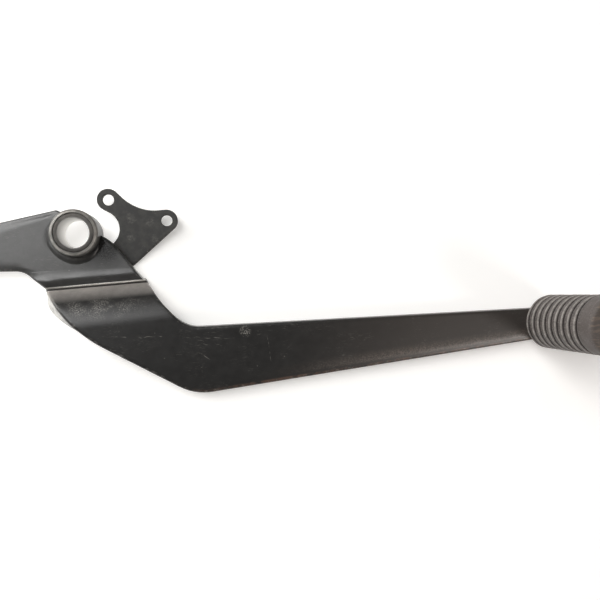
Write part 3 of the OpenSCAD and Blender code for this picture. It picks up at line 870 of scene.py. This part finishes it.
# Scratches of the arm's outboard face, as start, end, width and waver
ARM_STROKES = [((20.5, -45.6, 18.4), (41.3, -46.1, 18.6), 0.26, 1.6),
               ((14, -48.9, 19), (48, -49.4, 19), 0.24, 2.2),
               ((50, -49.9, 19), (74.7, -50.6, 19), 0.26, 1.8),
               ((90.5, -49.9, 19), (92.4, -62.4, 19), 0.2, 1.4),
               ((58.6, -52.9, 19), (61.6, -53.4, 19), 0.26, 2.6),
               ((58.4, -57.6, 19), (62, -60.8, 19), 0.28, 3.4),
               ((61.6, -60.8, 19), (60.4, -64.6, 19), 0.24, 2.6)]
# Middles of the bracket's rubbed patches
RUBBED_SPOTS = ((27.1, 11.1, 0), (36.4, 10.2, 0), (27, 1.6, 0), (39, 1.4, 0))


def lay_black_plate(net, look):
    """Worn black finish of the pressed arm. On the pivot plate it is coated and painted a lighter grey,
    partly a faded finish and partly painted light, and darker round the middle of the tube's shadow,
    a painted shadow. It is scuffed on the crest of the offset, and scratched and chipped on the bar,
    which is painted browner and lighter towards the peg, partly brown finish and partly painted light.
    Along the bar's lower edge lie a band that is partly rubbed finish and partly a painted highlight,
    and a painted brown line of shade. A pale line along the crease is partly bare steel and partly a
    painted highlight, and a painted dark line of shade follows it. Bare steel shows on the squeezed
    edge beside the offset, and on the rise after the crease a pale brownish band is partly a thin film
    and partly a painted reflection."""
    at = net.place()
    away, cross, face, low = (net.mark(name) for name in ("away", "cross", "face", "low"))
    x, to_tube_shadow = net.x_of(at), net.gap(at, TUBE_SHADOW)
    outboard = net.math("LESS_THAN", face, 0.5)
    grain = net.effect("grain", At=at, Size=0.35)
    wear = net.effect("edge_wear", At=at, Away=away, Reach=0.7, Amount=0.28, Patch=2.6)["Bare"]
    speck = net.effect("specks", At=at, Spacing=4.5, Share=0.12, Size=0.10)["Speck"]
    sparkle = net.top(net.patches(at, (1.7, 4, 0.8), 0.45, 0.68), net.scratches(at, -0.7, 4.2, 1))
    scuff = net.times(net.ramp(cross, 8, 13), net.ramp(cross, 22.5, 16.5), net.ramp(x, 36, 12, 0.1, 1),
                      net.ramp(x, -10, 4, 0.35, 1), net.patches(at, (0.13, 3, 0.6), 0.36, 0.62),
                      sparkle, outboard)
    strokes = [net.effect("stroke", At=at, Start=a, End=b, Width=width, Waver=waver)["Line"]
               for a, b, width, waver in ARM_STROKES]
    marks = net.times(net.top(*strokes), outboard)
    chip = net.times(net.ramp(net.gap(at, CHIP), 3.6, 0.8), net.patches(at, (1.6, 5, 0.7), 0.5, 0.62),
                     outboard)
    # Pale line along the crease, laid as bare steel: partly worn steel, partly a painted highlight of the
    # crease's tight bend.
    line = net.times(net.ramp(cross, -1.15, -0.75), net.ramp(cross, 0, -0.35),
                     net.patches(at, (0.3, 4, 0.6), 0.35, 0.62, 0.7, 1),
                     net.ramp(x, -20, 15, 0.6, 1), outboard)
    squeezed = net.times(net.ramp(cross, 0.2, 1.5), net.ramp(cross, 26, 17), net.ramp(away, 0.5, 0),
                         net.ramp(face, 0.06, 0.16), net.ramp(x, 8, -2),
                         net.patches(at, (0.4, 4, 0.65), 0.36, 0.6, 0.62, 1))
    worn_edge = net.times(wear, net.top(low, net.ramp(x, 90, 50)))
    bare = net.top(*(net.times(mask, share) for mask, share in (
        (worn_edge, 0.15), (scuff, 0.48), (marks, 0.24), (chip, 0.7), (line, 0.95), (speck, 0.22))),
        net.scratches(at, 0.08, 1.9, 0.16), net.scratches(at, 1.2, 2.3, 0.14))

    # Painted shade: a dark line in the furrow just after the crease.
    furrow = net.times(net.ramp(cross, -0.1, 0.2), net.ramp(cross, 0.9, 0.55), outboard)
    # Pale brownish band on the rise just after the crease, half metallic: partly a thin film, partly a
    # painted reflection of the floor.
    after = net.times(net.ramp(cross, 0.6, 1), net.ramp(cross, 11, 1.5, smooth=False),
                      net.patches(at, (0.2, 4, 0.6), 0.3, 0.7, 0.7, 1))
    # Lighter grey on the pivot plate and the dip: partly a faded finish, partly painted light for the
    # brighter reflections there. Near the tube it gives way to black, a painted shadow of the tube.
    greyed_and_painted_light = net.times(net.ramp(cross, 0, -3.6), net.ramp(grain["Broad"], 0.25, 0.75, 0.6, 1),
                       net.ramp(to_tube_shadow, 2.5, 14, 0.05, 1))
    # Warm band along the bar's lower edge: partly rubbed finish, partly a painted highlight of the rolled
    # edge's reflection.
    band = net.times(net.ramp(away, 8, 3), net.ramp(away, 0.8, 2.2), net.ramp(x, 80, 170), low, outboard,
                     net.patches(at, (1.5, 5, 0.8), 0.42, 0.64, 0.12, 1))
    # Painted shade: a brown line right at the bar's lower edge, with the warm floor's reflection painted into
    # it.
    rim = net.times(net.ramp(away, 1, 0.1), low, net.ramp(x, 40, 90),
                    net.patches(at, (0.25, 4, 0.65), 0.36, 0.6))
    colour = net.layers(look.black, (grain["Broad"], look.black_faded),
                        # Browner and lighter towards the peg: partly a brown finish, partly painted light for
                        # the bar's brighter reflections there.
                        (net.ramp(x, 85, 190, 0, 0.8), look.bar_brown_and_sheen), (greyed_and_painted_light, look.greyed_and_painted_light),
                        (after, look.browned_and_sheen), (band, look.bar_rubbed_and_sheen), (rim, look.rim_painted_shade),
                        (bare, look.bare_steel), (furrow, look.furrow),
                        (net.times(squeezed, 0.95), look.squeezed_steel))
    rough = net.ramp(grain["Grain"], 0.3, 0.7, look.black_rough - 0.05, look.black_rough + 0.07)
    rough = net.math("ADD", rough, net.times(net.top(scuff, bare, greyed_and_painted_light), 0.08))
    rough = net.math("SUBTRACT", rough, net.ramp(to_tube_shadow, 12, 3, 0, 0.1))
    height = net.math("SUBTRACT", net.times(grain["Grain"], 0.6), net.times(bare, 0.4))
    metal = net.top(net.times(net.top(bare, squeezed), 0.4), net.times(after, 0.65))
    # The coat also thins round the tube's shadow, to darken it there.
    coat = net.times(net.ramp(cross, 0.3, -0.6), net.ramp(to_tube_shadow, 2.5, 12.5, 0, 0.77),
                     net.patches(at, (0.5, 4, 0.6), 0.35, 0.65, 0.86, 1.06))
    return {"Base Color": colour, "Metallic": metal, "Roughness": rough, "Coat Weight": coat,
            "Normal": net.bump(height, 0.3, 0.05)}


def lay_black_sheet(net, look):
    """Black finish of the thin bracket, mottled, with a few soft rubbed patches."""
    at = net.place()
    grain = net.effect("grain", At=at, Size=0.4)["Grain"]
    wear = net.effect("edge_wear", At=at, Away=net.mark("away"), Reach=0.5, Amount=0.3, Patch=1.8)["Bare"]
    speck = net.effect("specks", At=at, Spacing=4, Share=0.12, Size=0.12)["Speck"]
    warped = net.vector("ADD", at, net.vector("MULTIPLY", net.drift(at, 0.35, 3), (6, 6, 0)))
    spots = net.top(*(net.ramp(net.gap(warped, p), 3, 0.6) for p in RUBBED_SPOTS))
    scuff = net.times(spots, net.patches(at, (0.9, 4, 0.7), 0.38, 0.66))
    bare = net.top(net.times(wear, 0.2), net.times(scuff, 0.12), net.times(speck, 0.4),
                   net.times(net.scratches(at, 0.9, 2.4, 0.5), 0.2))
    colour = net.layers(look.sheet_black, (net.patches(at, (0.28, 4, 0.6), 0.4, 0.64), look.sheet_faded),
                        (bare, look.bare_steel))
    return {"Base Color": colour, "Metallic": net.times(bare, 0.5),
            "Roughness": net.ramp(grain, 0.3, 0.7, 0.42, 0.55), "Normal": net.bump(grain, 0.3, 0.05)}


def lay_weld(net, look):
    """Black finish over a weld bead, painted lighter grey like the plate beside it, partly a faded
    finish and partly painted light, and left black towards the tube's shadow as a painted shadow.
    """
    at = net.place()
    grain = net.effect("grain", At=at, Size=0.5)
    rub = net.times(net.ramp(net.mark("lift"), 0.5, 1), net.ramp(grain["Grain"], 0.45, 0.65), 0.03)
    # Black towards the tube's shadow: a painted shadow.
    colour = net.layers(look.black_faded, (net.ramp(grain["Broad"], 0.25, 0.75, 0.6, 1), look.greyed_and_painted_light),
                        (net.ramp(net.gap(at, TUBE_SHADOW), 12, 5), look.black), (rub, look.bare_steel))
    return {"Base Color": colour, "Roughness": net.ramp(grain["Grain"], 0.3, 0.7, 0.29, 0.4),
            "Normal": net.bump(grain["Grain"], 0.35, 0.06)}


def lay_tube(net, look):
    """The pivot tube: black finish on its side, worn to dark steel with brown rust at the round
    outer edge."""
    at, away, lift = net.place(), net.mark("away"), net.mark("lift")
    grain = net.effect("grain", At=at, Size=0.4)
    worn = net.times(net.ramp(lift, 8, 17), net.patches(at, (0.14, 4, 0.6), 0.3, 0.62, 0.35, 1))
    rusty = net.times(net.patches(at, (0.12, 3, 0.6), 0.36, 0.6), net.ramp(lift, 4, 15),
                      net.ramp(net.dot(at, (0.75, 0.66, 0)), -2, 9), 0.4)
    share = net.top(worn, net.scratches(at, 0.6, 1.9, 0.35))
    rim = net.times(net.ramp(away, 0.9, 0.2), net.ramp(lift, 16.5, 17.8),
                    net.ramp(grain["Broad"], 0.4, 0.6, 0.2, 0.6))
    colour = net.layers(look.tube_black, (grain["Broad"], look.black_faded),
                        (share, net.layers(look.worn_tube, (rusty, look.rust))), (rim, look.bare_steel))
    return {"Base Color": colour, "Metallic": net.times(share, 0.45),
            "Roughness": net.ramp(grain["Grain"], 0.3, 0.7, 0.3, 0.44),
            "Normal": net.bump(grain["Grain"], 0.3, 0.05)}


def lay_bush(net, look):
    """Ground steel with fine turning lines along the bore, painted paler towards its inboard end as
    painted light, and a brown film on the end faces, with paler patches towards +Y that are partly
    wear and partly painted light."""
    at = net.place()
    lines = net.noise(net.turned(at, scale=(0.15, 0.15, 3)), 1.4)
    film = net.ramp(net.mark("away"), 0.12, 0.45)
    # Paler patches of the end face, more towards +Y: partly wear, partly painted light on the side turned to
    # the lamps.
    worn = net.times(net.patches(at, (0.3, 4), 0.35, 0.7, 0.3, 1),
                     net.ramp(net.dot(at, (-0.3, 0.95, 0)), -7, 7, 0.15, 1))
    # Painted light: the bore paler towards its inboard end, where it opens onto the bright floor.
    inboard = net.ramp(net.mark("lift"), 15, -1, smooth=False)
    colour = net.layers(look.ground_steel, (inboard, look.ground_painted_light),
                        (film, net.layers(look.bush_face, (worn, look.bush_worn_and_lit))))
    return {"Base Color": colour, "Roughness": net.ramp(lines, 0.3, 0.7, 0.34, 0.5),
            "Metallic": net.ramp(film, 0, 1, 0.85, 0.35), "Normal": net.bump(lines, 0.12, 0.02)}


def lay_stud(net, look):
    """Dull plated stud with a hammered, slightly rusty end."""
    grain = net.effect("grain", At=net.place(), Size=0.6)
    rusty = net.times(net.ramp(grain["Broad"], 0.5, 0.7), 0.5)
    return {"Base Color": net.layers(look.plated, (rusty, look.rust)),
            "Metallic": net.ramp(rusty, 0, 1, 0.9, 0.2),
            "Roughness": net.ramp(grain["Grain"], 0.3, 0.7, 0.35, 0.55),
            "Normal": net.bump(grain["Grain"], 0.4, 0.08)}


def lay_rubber(net, look):
    """Grey-brown rubber: painted dark in the grooves as painted shade, dusty on the ribs and palest at
    their outboard edges, partly rubbed and partly a painted highlight, with brown scuffs across the end."""
    at, lift = net.place(), net.mark("lift")
    grain = net.effect("grain", At=at, Size=0.45)["Grain"]
    dust = net.patches(at, (0.22, 5, 0.7), 0.34, 0.68)
    # Pale line at each rib's outboard edge: partly rubbed rubber, partly a painted highlight of the light the
    # rounded edge catches.
    edge = net.times(net.mark("rubbed"), net.patches(at, (0.5, 4, 0.65), 0.3, 0.6, 0.35, 1), 0.85)
    on_end = net.ramp(lift, 51.6, 52.7)
    streak = net.turned(at, turn=(0, 0, 0.1), scale=(0.12, 1, 0.3))
    scuffed = net.times(net.patches(streak, (1.1, 4, 0.7), 0.46, 0.64), on_end)
    colour = net.layers(look.rubber, (dust, look.rubber_dust),
                        (net.times(net.patches(at, (1.5, 4, 0.7), 0.5, 0.68), 0.5), look.rubber_worn_and_sheen),
                        (edge, look.rubber_worn_and_sheen),
                        (net.times(net.ramp(lift, 43.5, 46), 0.7), look.rubber_dust),
                        (net.times(on_end, 0.85), look.rubber_end),
                        (net.times(scuffed, 0.7), look.end_scuff),
                        # Painted shade in the grooves.
                        (net.ramp(net.mark("deep"), 0.2, 0.9), look.groove_painted_shade))
    height = net.math("ADD", net.times(grain, 0.7), net.times(scuffed, -0.5))
    return {"Base Color": colour, "Roughness": net.ramp(dust, 0, 1, 0.5, 0.66),
            "Normal": net.bump(height, 0.5, 0.08)}


# Sizes and colours

def size(name, description, default, low=0.0, high=100.0):
    return FloatProperty(name=name, description=description + ", in mm", default=default, min=low, max=high)


def turn(name, description, default):
    return FloatProperty(name=name, description=description + ", in degrees", default=default,
                         min=0.0, max=90.0)


def colour(name, description, default):
    return FloatVectorProperty(name=name, description=description, default=default, size=3,
                               subtype="COLOR", min=0.0, max=1.0)


class PedalSizes(bpy.types.PropertyGroup):
    """Sizes of the pedal in millimetres and degrees."""
    plate_thickness: size("Plate", "Thickness of the arm plate", 7.0)
    edge_radius: size("Rolled edge", "Radius of the arm's rolled edges", 1.2)
    offset: size("Offset", "Sideways offset between pivot plate and bar", 12.0)
    crease_x: size("Crease X", "Place of the crease along X", 8.0, -100.0)
    crease_y: size("Crease Y", "Place of the crease along Y", -24.9, -100.0)
    crease_turn: turn("Crease angle", "Angle of the crease to the X axis", 5.0)
    crease_radius: size("Crease radius", "Inside radius of the crease", 1.2)
    dip_angle: turn("Dip angle", "Steepness of the dip before the crease", 9.0)
    dip_radius: size("Dip radius", "Radius of the dip", 38.0)
    rise_angle: turn("Rise angle", "Steepness of the rise after the crease", 60.0)
    crest_radius: size("Crest radius", "Radius of the bend at the top of the rise", 20.0)
    flare: size("Squeezed edge", "Sideways spread of the squeezed inboard edge", 2.6)
    bracket_thickness: size("Bracket", "Thickness of the bracket's sheet", 3.0)
    spring_hole: size("Spring holes", "Diameter of the spring holes", 5.5)
    bush_bore: size("Bush bore", "Bore of the pivot bush", 14.0)
    tube_round: size("Tube end", "Radius of the tube's worn outboard edge", 1.6)
    front_bead: size("Outboard bead", "Leg of the outboard pivot weld", 3.8)
    back_bead: size("Inboard bead", "Leg of the inboard pivot weld", 2.8)
    bracket_bead: size("Bracket beads", "Leg of the bracket's welds", 2.0)
    stud_bead: size("Stud bead", "Leg of the weld round the stud's end", 1.6)
    groove_count: IntProperty(name="Grooves", description="Number of grooves of the rubber", default=9, min=1)
    groove_start: size("First groove", "Distance from the bar to the first groove", 2.0)
    groove_pitch: size("Groove pitch", "Distance from groove to groove", 5.0)
    groove_width: size("Groove width", "Width of a groove", 1.5)
    groove_depth: size("Groove depth", "Depth of a groove", 1.3)
    peg_lean: size("Peg lean", "Sideways lean of the rubber's outer end", 2.2)


class PedalLook(bpy.types.PropertyGroup):
    """Colours and finishes of the pedal."""
    black: colour("Black", "Black finish of the arm", (0.0105, 0.0102, 0.0098))
    black_faded: colour("Faded black", "Black finish where it has gone grey", (0.018, 0.0172, 0.0162))
    # Partly a faded finish, partly painted light: the pivot plate's lighter grey.
    greyed_and_painted_light: colour("Greyed black", "Black finish of the pivot plate", (0.036, 0.0355, 0.0335))
    # Partly a thin brownish film, partly a painted reflection: the pale band after the crease.
    browned_and_sheen: colour("Browned black", "Thin brownish finish after the crease", (0.52, 0.485, 0.45))
    # Partly brown finish, partly painted light: the bar, lighter towards the peg.
    bar_brown_and_sheen: colour("Brown bar", "Black finish where the bar has gone brown", (0.043, 0.036, 0.0315))
    # Partly rubbed finish, partly a painted highlight along the bar's lower edge.
    bar_rubbed_and_sheen: colour("Rubbed bar", "Warm rubbed band along the bar's lower edge", (0.12, 0.097, 0.082))
    # Painted shade and reflection: the brown line at the bar's lower edge.
    rim_painted_shade: colour("Rusty rim", "Thin rust on the bar's lower edge", (0.075, 0.046, 0.034))
    # Painted shade of the furrow after the crease.
    furrow: colour("Furrow", "Dark furrow after the crease", (0.012, 0.009, 0.007))
    sheet_black: colour("Bracket black", "Black finish of the bracket", (0.026, 0.0255, 0.0238))
    sheet_faded: colour("Faded bracket", "Paler patches of the bracket", (0.038, 0.037, 0.0335))
    tube_black: colour("Tube black", "Black finish of the pivot tube", (0.030, 0.028, 0.026))
    black_rough: FloatProperty(name="Black roughness", description="Roughness of the black finish",
                               default=0.33, min=0.0, max=1.0, subtype="FACTOR")
    bare_steel: colour("Bare steel", "Steel where the finish is rubbed off", (0.50, 0.475, 0.43))
    squeezed_steel: colour("Squeezed steel", "Bright steel of the squeezed edge", (0.62, 0.61, 0.585))
    worn_tube: colour("Worn tube", "Worn steel of the tube's end", (0.21, 0.205, 0.19))
    rust: colour("Rust", "Thin brown rust", (0.11, 0.06, 0.042))
    ground_steel: colour("Ground steel", "Bore of the bush", (0.40, 0.39, 0.375))
    # Painted light of the bore's inboard end.
    ground_painted_light: colour("Pale steel", "Bore of the bush at its inboard end", (0.92, 0.91, 0.89))
    bush_face: colour("Bush face", "End faces of the bush", (0.030, 0.027, 0.024))
    # Partly wear, partly painted light on the end faces' upper side.
    bush_worn_and_lit: colour("Worn bush face", "Paler places of the bush's end faces", (0.11, 0.10, 0.088))
    plated: colour("Plating", "Dull plating of the stud", (0.42, 0.41, 0.39))
    rubber: colour("Rubber", "Rubber of the peg", (0.050, 0.042, 0.0385))
    rubber_dust: colour("Dusty rubber", "Dust on the rubber", (0.092, 0.078, 0.072))
    # Partly rubbed rubber, partly a painted highlight on the ribs' edges.
    rubber_worn_and_sheen: colour("Rubbed rubber", "Pale rubbed edges of the ribs", (0.33, 0.305, 0.28))
    rubber_end: colour("Rubber end", "Outer end of the rubber", (0.072, 0.060, 0.053))
    end_scuff: colour("End scuffs", "Scuffs across the rubber's end", (0.16, 0.120, 0.092))
    # Painted shade of the rubber's grooves.
    groove_painted_shade: colour("Groove dirt", "Dirt in the rubber's grooves", (0.016, 0.012, 0.011))
    floor: colour("Floor", "Pale floor", (0.82, 0.815, 0.80))


def chosen():
    scene = bpy.context.scene
    return scene.pedal_sizes, scene.pedal_look


# Operators

FINISHES = (("black plate", lay_black_plate, {"Specular_IOR_Level": 0.52, "Coat_Roughness": 0.34}),
            ("black sheet", lay_black_sheet, {"Specular_IOR_Level": 0.42}),
            ("weld", lay_weld, {"Specular_IOR_Level": 0.62}),
            ("worn tube", lay_tube, {"Specular_IOR_Level": 0.6}),
            ("ground bush", lay_bush, {}),
            ("plated stud", lay_stud, {}),
            ("peg rubber", lay_rubber, {"Specular_IOR_Level": 0.4}))


class PEDAL_OT_materials(bpy.types.Operator):
    """Builds the shared effects and the finishes"""
    bl_idname = "pedal.materials"
    bl_label = "Finishes"

    def execute(self, context):
        look = chosen()[1]
        build_effects()
        for name, lay, plain in FINISHES:
            new_finish(name, lambda net, lay=lay: lay(net, look), **plain)
        return {"FINISHED"}


class PEDAL_OT_arm(bpy.types.Operator):
    """Builds the pressed arm"""
    bl_idname = "pedal.arm"
    bl_label = "Pressed arm"

    def execute(self, context):
        build_piece("pressed_arm", arm_sheets(chosen()[0]), "black plate", ["pedal_arm"])
        return {"FINISHED"}


class PEDAL_OT_bracket(bpy.types.Operator):
    """Builds the spring bracket"""
    bl_idname = "pedal.bracket"
    bl_label = "Spring bracket"

    def execute(self, context):
        build_piece("spring_plate", bracket_sheets(chosen()[0]), "black sheet",
                    ["spring_bracket"])
        return {"FINISHED"}


class PEDAL_OT_pivot(bpy.types.Operator):
    """Builds the pivot tube and its bush"""
    bl_idname = "pedal.pivot"
    bl_label = "Pivot tube and bush"

    def execute(self, context):
        sizes = chosen()[0]
        build_piece("tube", tube_sheets(sizes), "worn tube", ["pivot_tube"])
        build_piece("bush", bush_sheets(sizes), "ground bush", ["pivot_bush"])
        return {"FINISHED"}


# The bracket's beads: piece, node, start, end, direction outwards and seed
BRACKET_BEADS = (("weld_foot", "bracket_weld_lower", (14.45, -15.53), (22.45, -15.67), (-0.018, -1.0), 24),
                 ("weld_side", "bracket_weld_side", (13.17, -7.5), (10.66, -10.62), (-0.779, 0.627), 25))


class PEDAL_OT_welds(bpy.types.Operator):
    """Builds the weld beads"""
    bl_idname = "pedal.welds"
    bl_label = "Welds"

    def execute(self, context):
        sizes = chosen()[0]
        tube_r = node_box("pivot_tube")[1][0]
        plate, offset = sizes.plate_thickness, sizes.offset
        beads = [(name, node, round_bead(*bead)) for name, node, *bead in (
            ("weld_front", "pivot_weld_front", tube_r, (0, 0), plate, sizes.front_bead, 138, 334, 1, 21,
             1.7, 13.0),
            ("weld_back", "pivot_weld_back", tube_r, (0, 0), 0, sizes.back_bead, 138, 300, -1, 22, 1.5),
            ("weld_stud", "peg_weld", BAR_HOLE, PEG, offset, sizes.stud_bead, 0, 360, -1, 23, 1.2))]
        beads += [(name, node, straight_bead(start, end, out, sizes.bracket_bead, -1, seed))
                  for name, node, start, end, out, seed in BRACKET_BEADS]
        for name, node, sheet in beads:
            build_piece(name, [sheet], "weld", [node])
        return {"FINISHED"}


class PEDAL_OT_peg(bpy.types.Operator):
    """Builds the foot peg's stud and rubber"""
    bl_idname = "pedal.peg"
    bl_label = "Foot peg"

    def execute(self, context):
        sizes = chosen()[0]
        build_piece("stud", stud_sheets(sizes), "plated stud", ["peg_stud"])
        build_piece("rubber", rubber_sheets(sizes), "peg rubber", ["peg_rubber"])
        return {"FINISHED"}


# The camera: focal length and width of its picture in pixels, the pivot axis's vanishing point
# from the picture's middle, and the eye in millimetres
FOCAL, PICTURE, VANISHING = 608.0, 600, (-113.0, -30.0)
EYE = np.array([51.912, -17.384, 315.873])
SENSOR = 36.0
# The pedal's three resting places: the tube's inboard edge, the heel's lower edge, the stud's end
RESTS = np.array([[-5.0, -10.0, -4.05], [60.0, -77.0, 11.9], [244.0, -50.0, 10.1]])
FLOOR_REACH, FLOOR_ROWS = 2500, 25
# Lamps: name, azimuth, elevation, width, height, brightness and tint
LAMPS = (("window", 150, 18, 1.1, 0.46, 8, (1, 0.985, 0.96)),
         ("middle_box", 131, 40, 0.66, 0.56, 6, (1, 1, 1)),
         ("high_box", 145, 62, 0.78, 0.78, 5.4, (1, 1, 1)),
         ("upper_box", 88, 52, 0.42, 0.42, 2.4, (1, 1, 1)),
         ("right_box", -30, 48, 0.36, 0.36, 13, (1, 0.93, 0.88)),
         ("left_box", 195, 18, 0.5, 0.4, 4.5, (1, 1, 1)))
LAMP_AIM, LAMP_DISTANCE = np.array([0.09, -0.03, 0.01]), 1.6


def add_object(name, data):
    thing = bpy.data.objects.new(name, data)
    bpy.context.scene.collection.objects.link(thing)
    return thing


def add_camera():
    """The photo's camera. Seen from it, in axes that point right, down and inwards, the part's Z
    axis points away from the vanishing point, its X axis is the picture's row made square to
    that, and its Y axis is square to both. Read as columns, the same numbers are the camera's
    right, down and inward directions in the part's frame."""
    z = -unit(np.array([*VANISHING, FOCAL]))
    x = unit(np.array([1.0, 0, 0]) - z * z[0])
    axes = np.stack([x, np.cross(z, x), z]) * [1, -1, -1]
    camera = bpy.data.cameras.new("photo_camera")
    camera.sensor_width, camera.lens = SENSOR, FOCAL / PICTURE * SENSOR
    camera.clip_start, camera.clip_end = 0.01, 20.0
    thing = add_object("photo_camera", camera)
    thing.matrix_world = Matrix([(*row, e) for row, e in zip(axes, EYE * MM)] + [(0, 0, 0, 1)])
    bpy.context.scene.camera = thing


def add_lamp(name, azimuth, elevation, width, height, brightness, tint):
    """A soft box in a given direction from the pedal, in degrees, facing it. Its power is its
    brightness times pi times its area."""
    a, e = math.radians(azimuth), math.radians(elevation)
    away = np.array([math.cos(a) * math.cos(e), math.sin(a) * math.cos(e), math.sin(e)])
    lamp = bpy.data.lights.new(name, "AREA")
    lamp.shape, lamp.size, lamp.size_y = "RECTANGLE", width, height
    lamp.energy = brightness * math.pi * width * height
    lamp.color = tint
    thing = add_object(name, lamp)
    thing.location = LAMP_AIM + away * LAMP_DISTANCE
    thing.rotation_euler = Vector(-away).to_track_quat("-Z", "Y").to_euler()
    thing.visible_camera = False


def lay_floor(net):
    """Glow that lifts the floor towards white near the pedal and far from it, warmer to the right.
    Only the camera, reflections and see-through rays meet it, so it lights nothing."""
    rays = net.node("LightPath").outputs
    seen = net.top(*(rays[f"Is {kind} Ray"] for kind in ("Camera", "Glossy", "Transmission")))
    far = net.gap(net.place(), (-30, 5, 0))
    glow = net.math("ADD", net.ramp(far, 25, 85, 0.62, 0.31), net.ramp(far, 350, 1300, 0, 0.7))
    tint = net.layers((1, 0.985, 0.955), (net.ramp(net.x_of(net.place()), 110, 270), (1, 0.945, 0.915)))
    return {"Emission Strength": net.times(seen, glow), "Emission Color": tint}


class PEDAL_OT_stage(bpy.types.Operator):
    """Sets the floor, the lamps, the world and the camera"""
    bl_idname = "pedal.stage"
    bl_label = "Stage"

    def execute(self, context):
        scene, look = context.scene, chosen()[1]
        normal = unit(np.cross(RESTS[1] - RESTS[0], RESTS[2] - RESTS[0]))
        side = unit(np.cross(normal, [0.0, 1.0, 0.0]))
        reach = np.linspace(-1, 1, FLOOR_ROWS) ** 3 * FLOOR_REACH
        u, v = np.meshgrid(reach, reach, indexing="ij")
        sheet = RESTS[0] + u[..., None] * side + v[..., None] * np.cross(normal, side)
        mesh = bpy.data.meshes.new("floor")
        quads = grid_quads(FLOOR_ROWS, FLOOR_ROWS)
        mesh.from_pydata((sheet.reshape(-1, 3) * MM).tolist(), [], quads.tolist())
        mesh.polygons.foreach_set("use_smooth", np.ones(len(mesh.polygons), bool))
        if mesh.polygons[0].normal @ Vector(normal) < 0:
            mesh.flip_normals()
        mesh.materials.append(new_finish("pale floor", lay_floor, Base_Color=(*look.floor, 1.0),
                                         Roughness=0.9, Specular_IOR_Level=0.1))
        floor = add_object("floor", mesh)

        scene.world = bpy.data.worlds.new("studio")
        scene.world.use_nodes = True
        net = Net(scene.world.node_tree)
        net.tree.nodes.clear()
        up = net.dot(net.node("TexCoord").outputs["Generated"], tuple(normal))
        level = net.top(net.ramp(up, 0.05, 0.35, 0.8, 0.08), net.node("LightPath").outputs["Is Camera Ray"])
        net.node("OutputWorld", (net.node("Background", (None, level)).outputs[0],))

        for lamp in LAMPS:
            add_lamp(*lamp)
        add_camera()
        scene.view_settings.view_transform = "Standard"
        return {"FINISHED"}


STEPS = (PEDAL_OT_stage, PEDAL_OT_materials, PEDAL_OT_arm, PEDAL_OT_bracket, PEDAL_OT_pivot,
         PEDAL_OT_welds, PEDAL_OT_peg)


class PEDAL_PT_panel(bpy.types.Panel):
    """Lists the steps that dress the pedal"""
    bl_idname = "PEDAL_PT_panel"
    bl_label = "Rear brake pedal"
    bl_space_type = "VIEW_3D"
    bl_region_type = "UI"
    bl_category = "Pedal"

    def draw(self, context):
        for step in STEPS:
            self.layout.operator(step.bl_idname)


def register():
    for kind in (PedalSizes, PedalLook, *STEPS, PEDAL_PT_panel):
        bpy.utils.register_class(kind)
    bpy.types.Scene.pedal_sizes = PointerProperty(type=PedalSizes)
    bpy.types.Scene.pedal_look = PointerProperty(type=PedalLook)


def unregister():
    del bpy.types.Scene.pedal_sizes, bpy.types.Scene.pedal_look
    for kind in (PEDAL_PT_panel, *reversed(STEPS), PedalLook, PedalSizes):
        bpy.utils.unregister_class(kind)


def main():
    register()
    bpy.ops.pedal.stage()
    bpy.ops.pedal.materials()
    bpy.ops.pedal.arm()
    bpy.ops.pedal.bracket()
    bpy.ops.pedal.pivot()
    bpy.ops.pedal.welds()
    bpy.ops.pedal.peg()


if __name__ == "__main__":
    main()
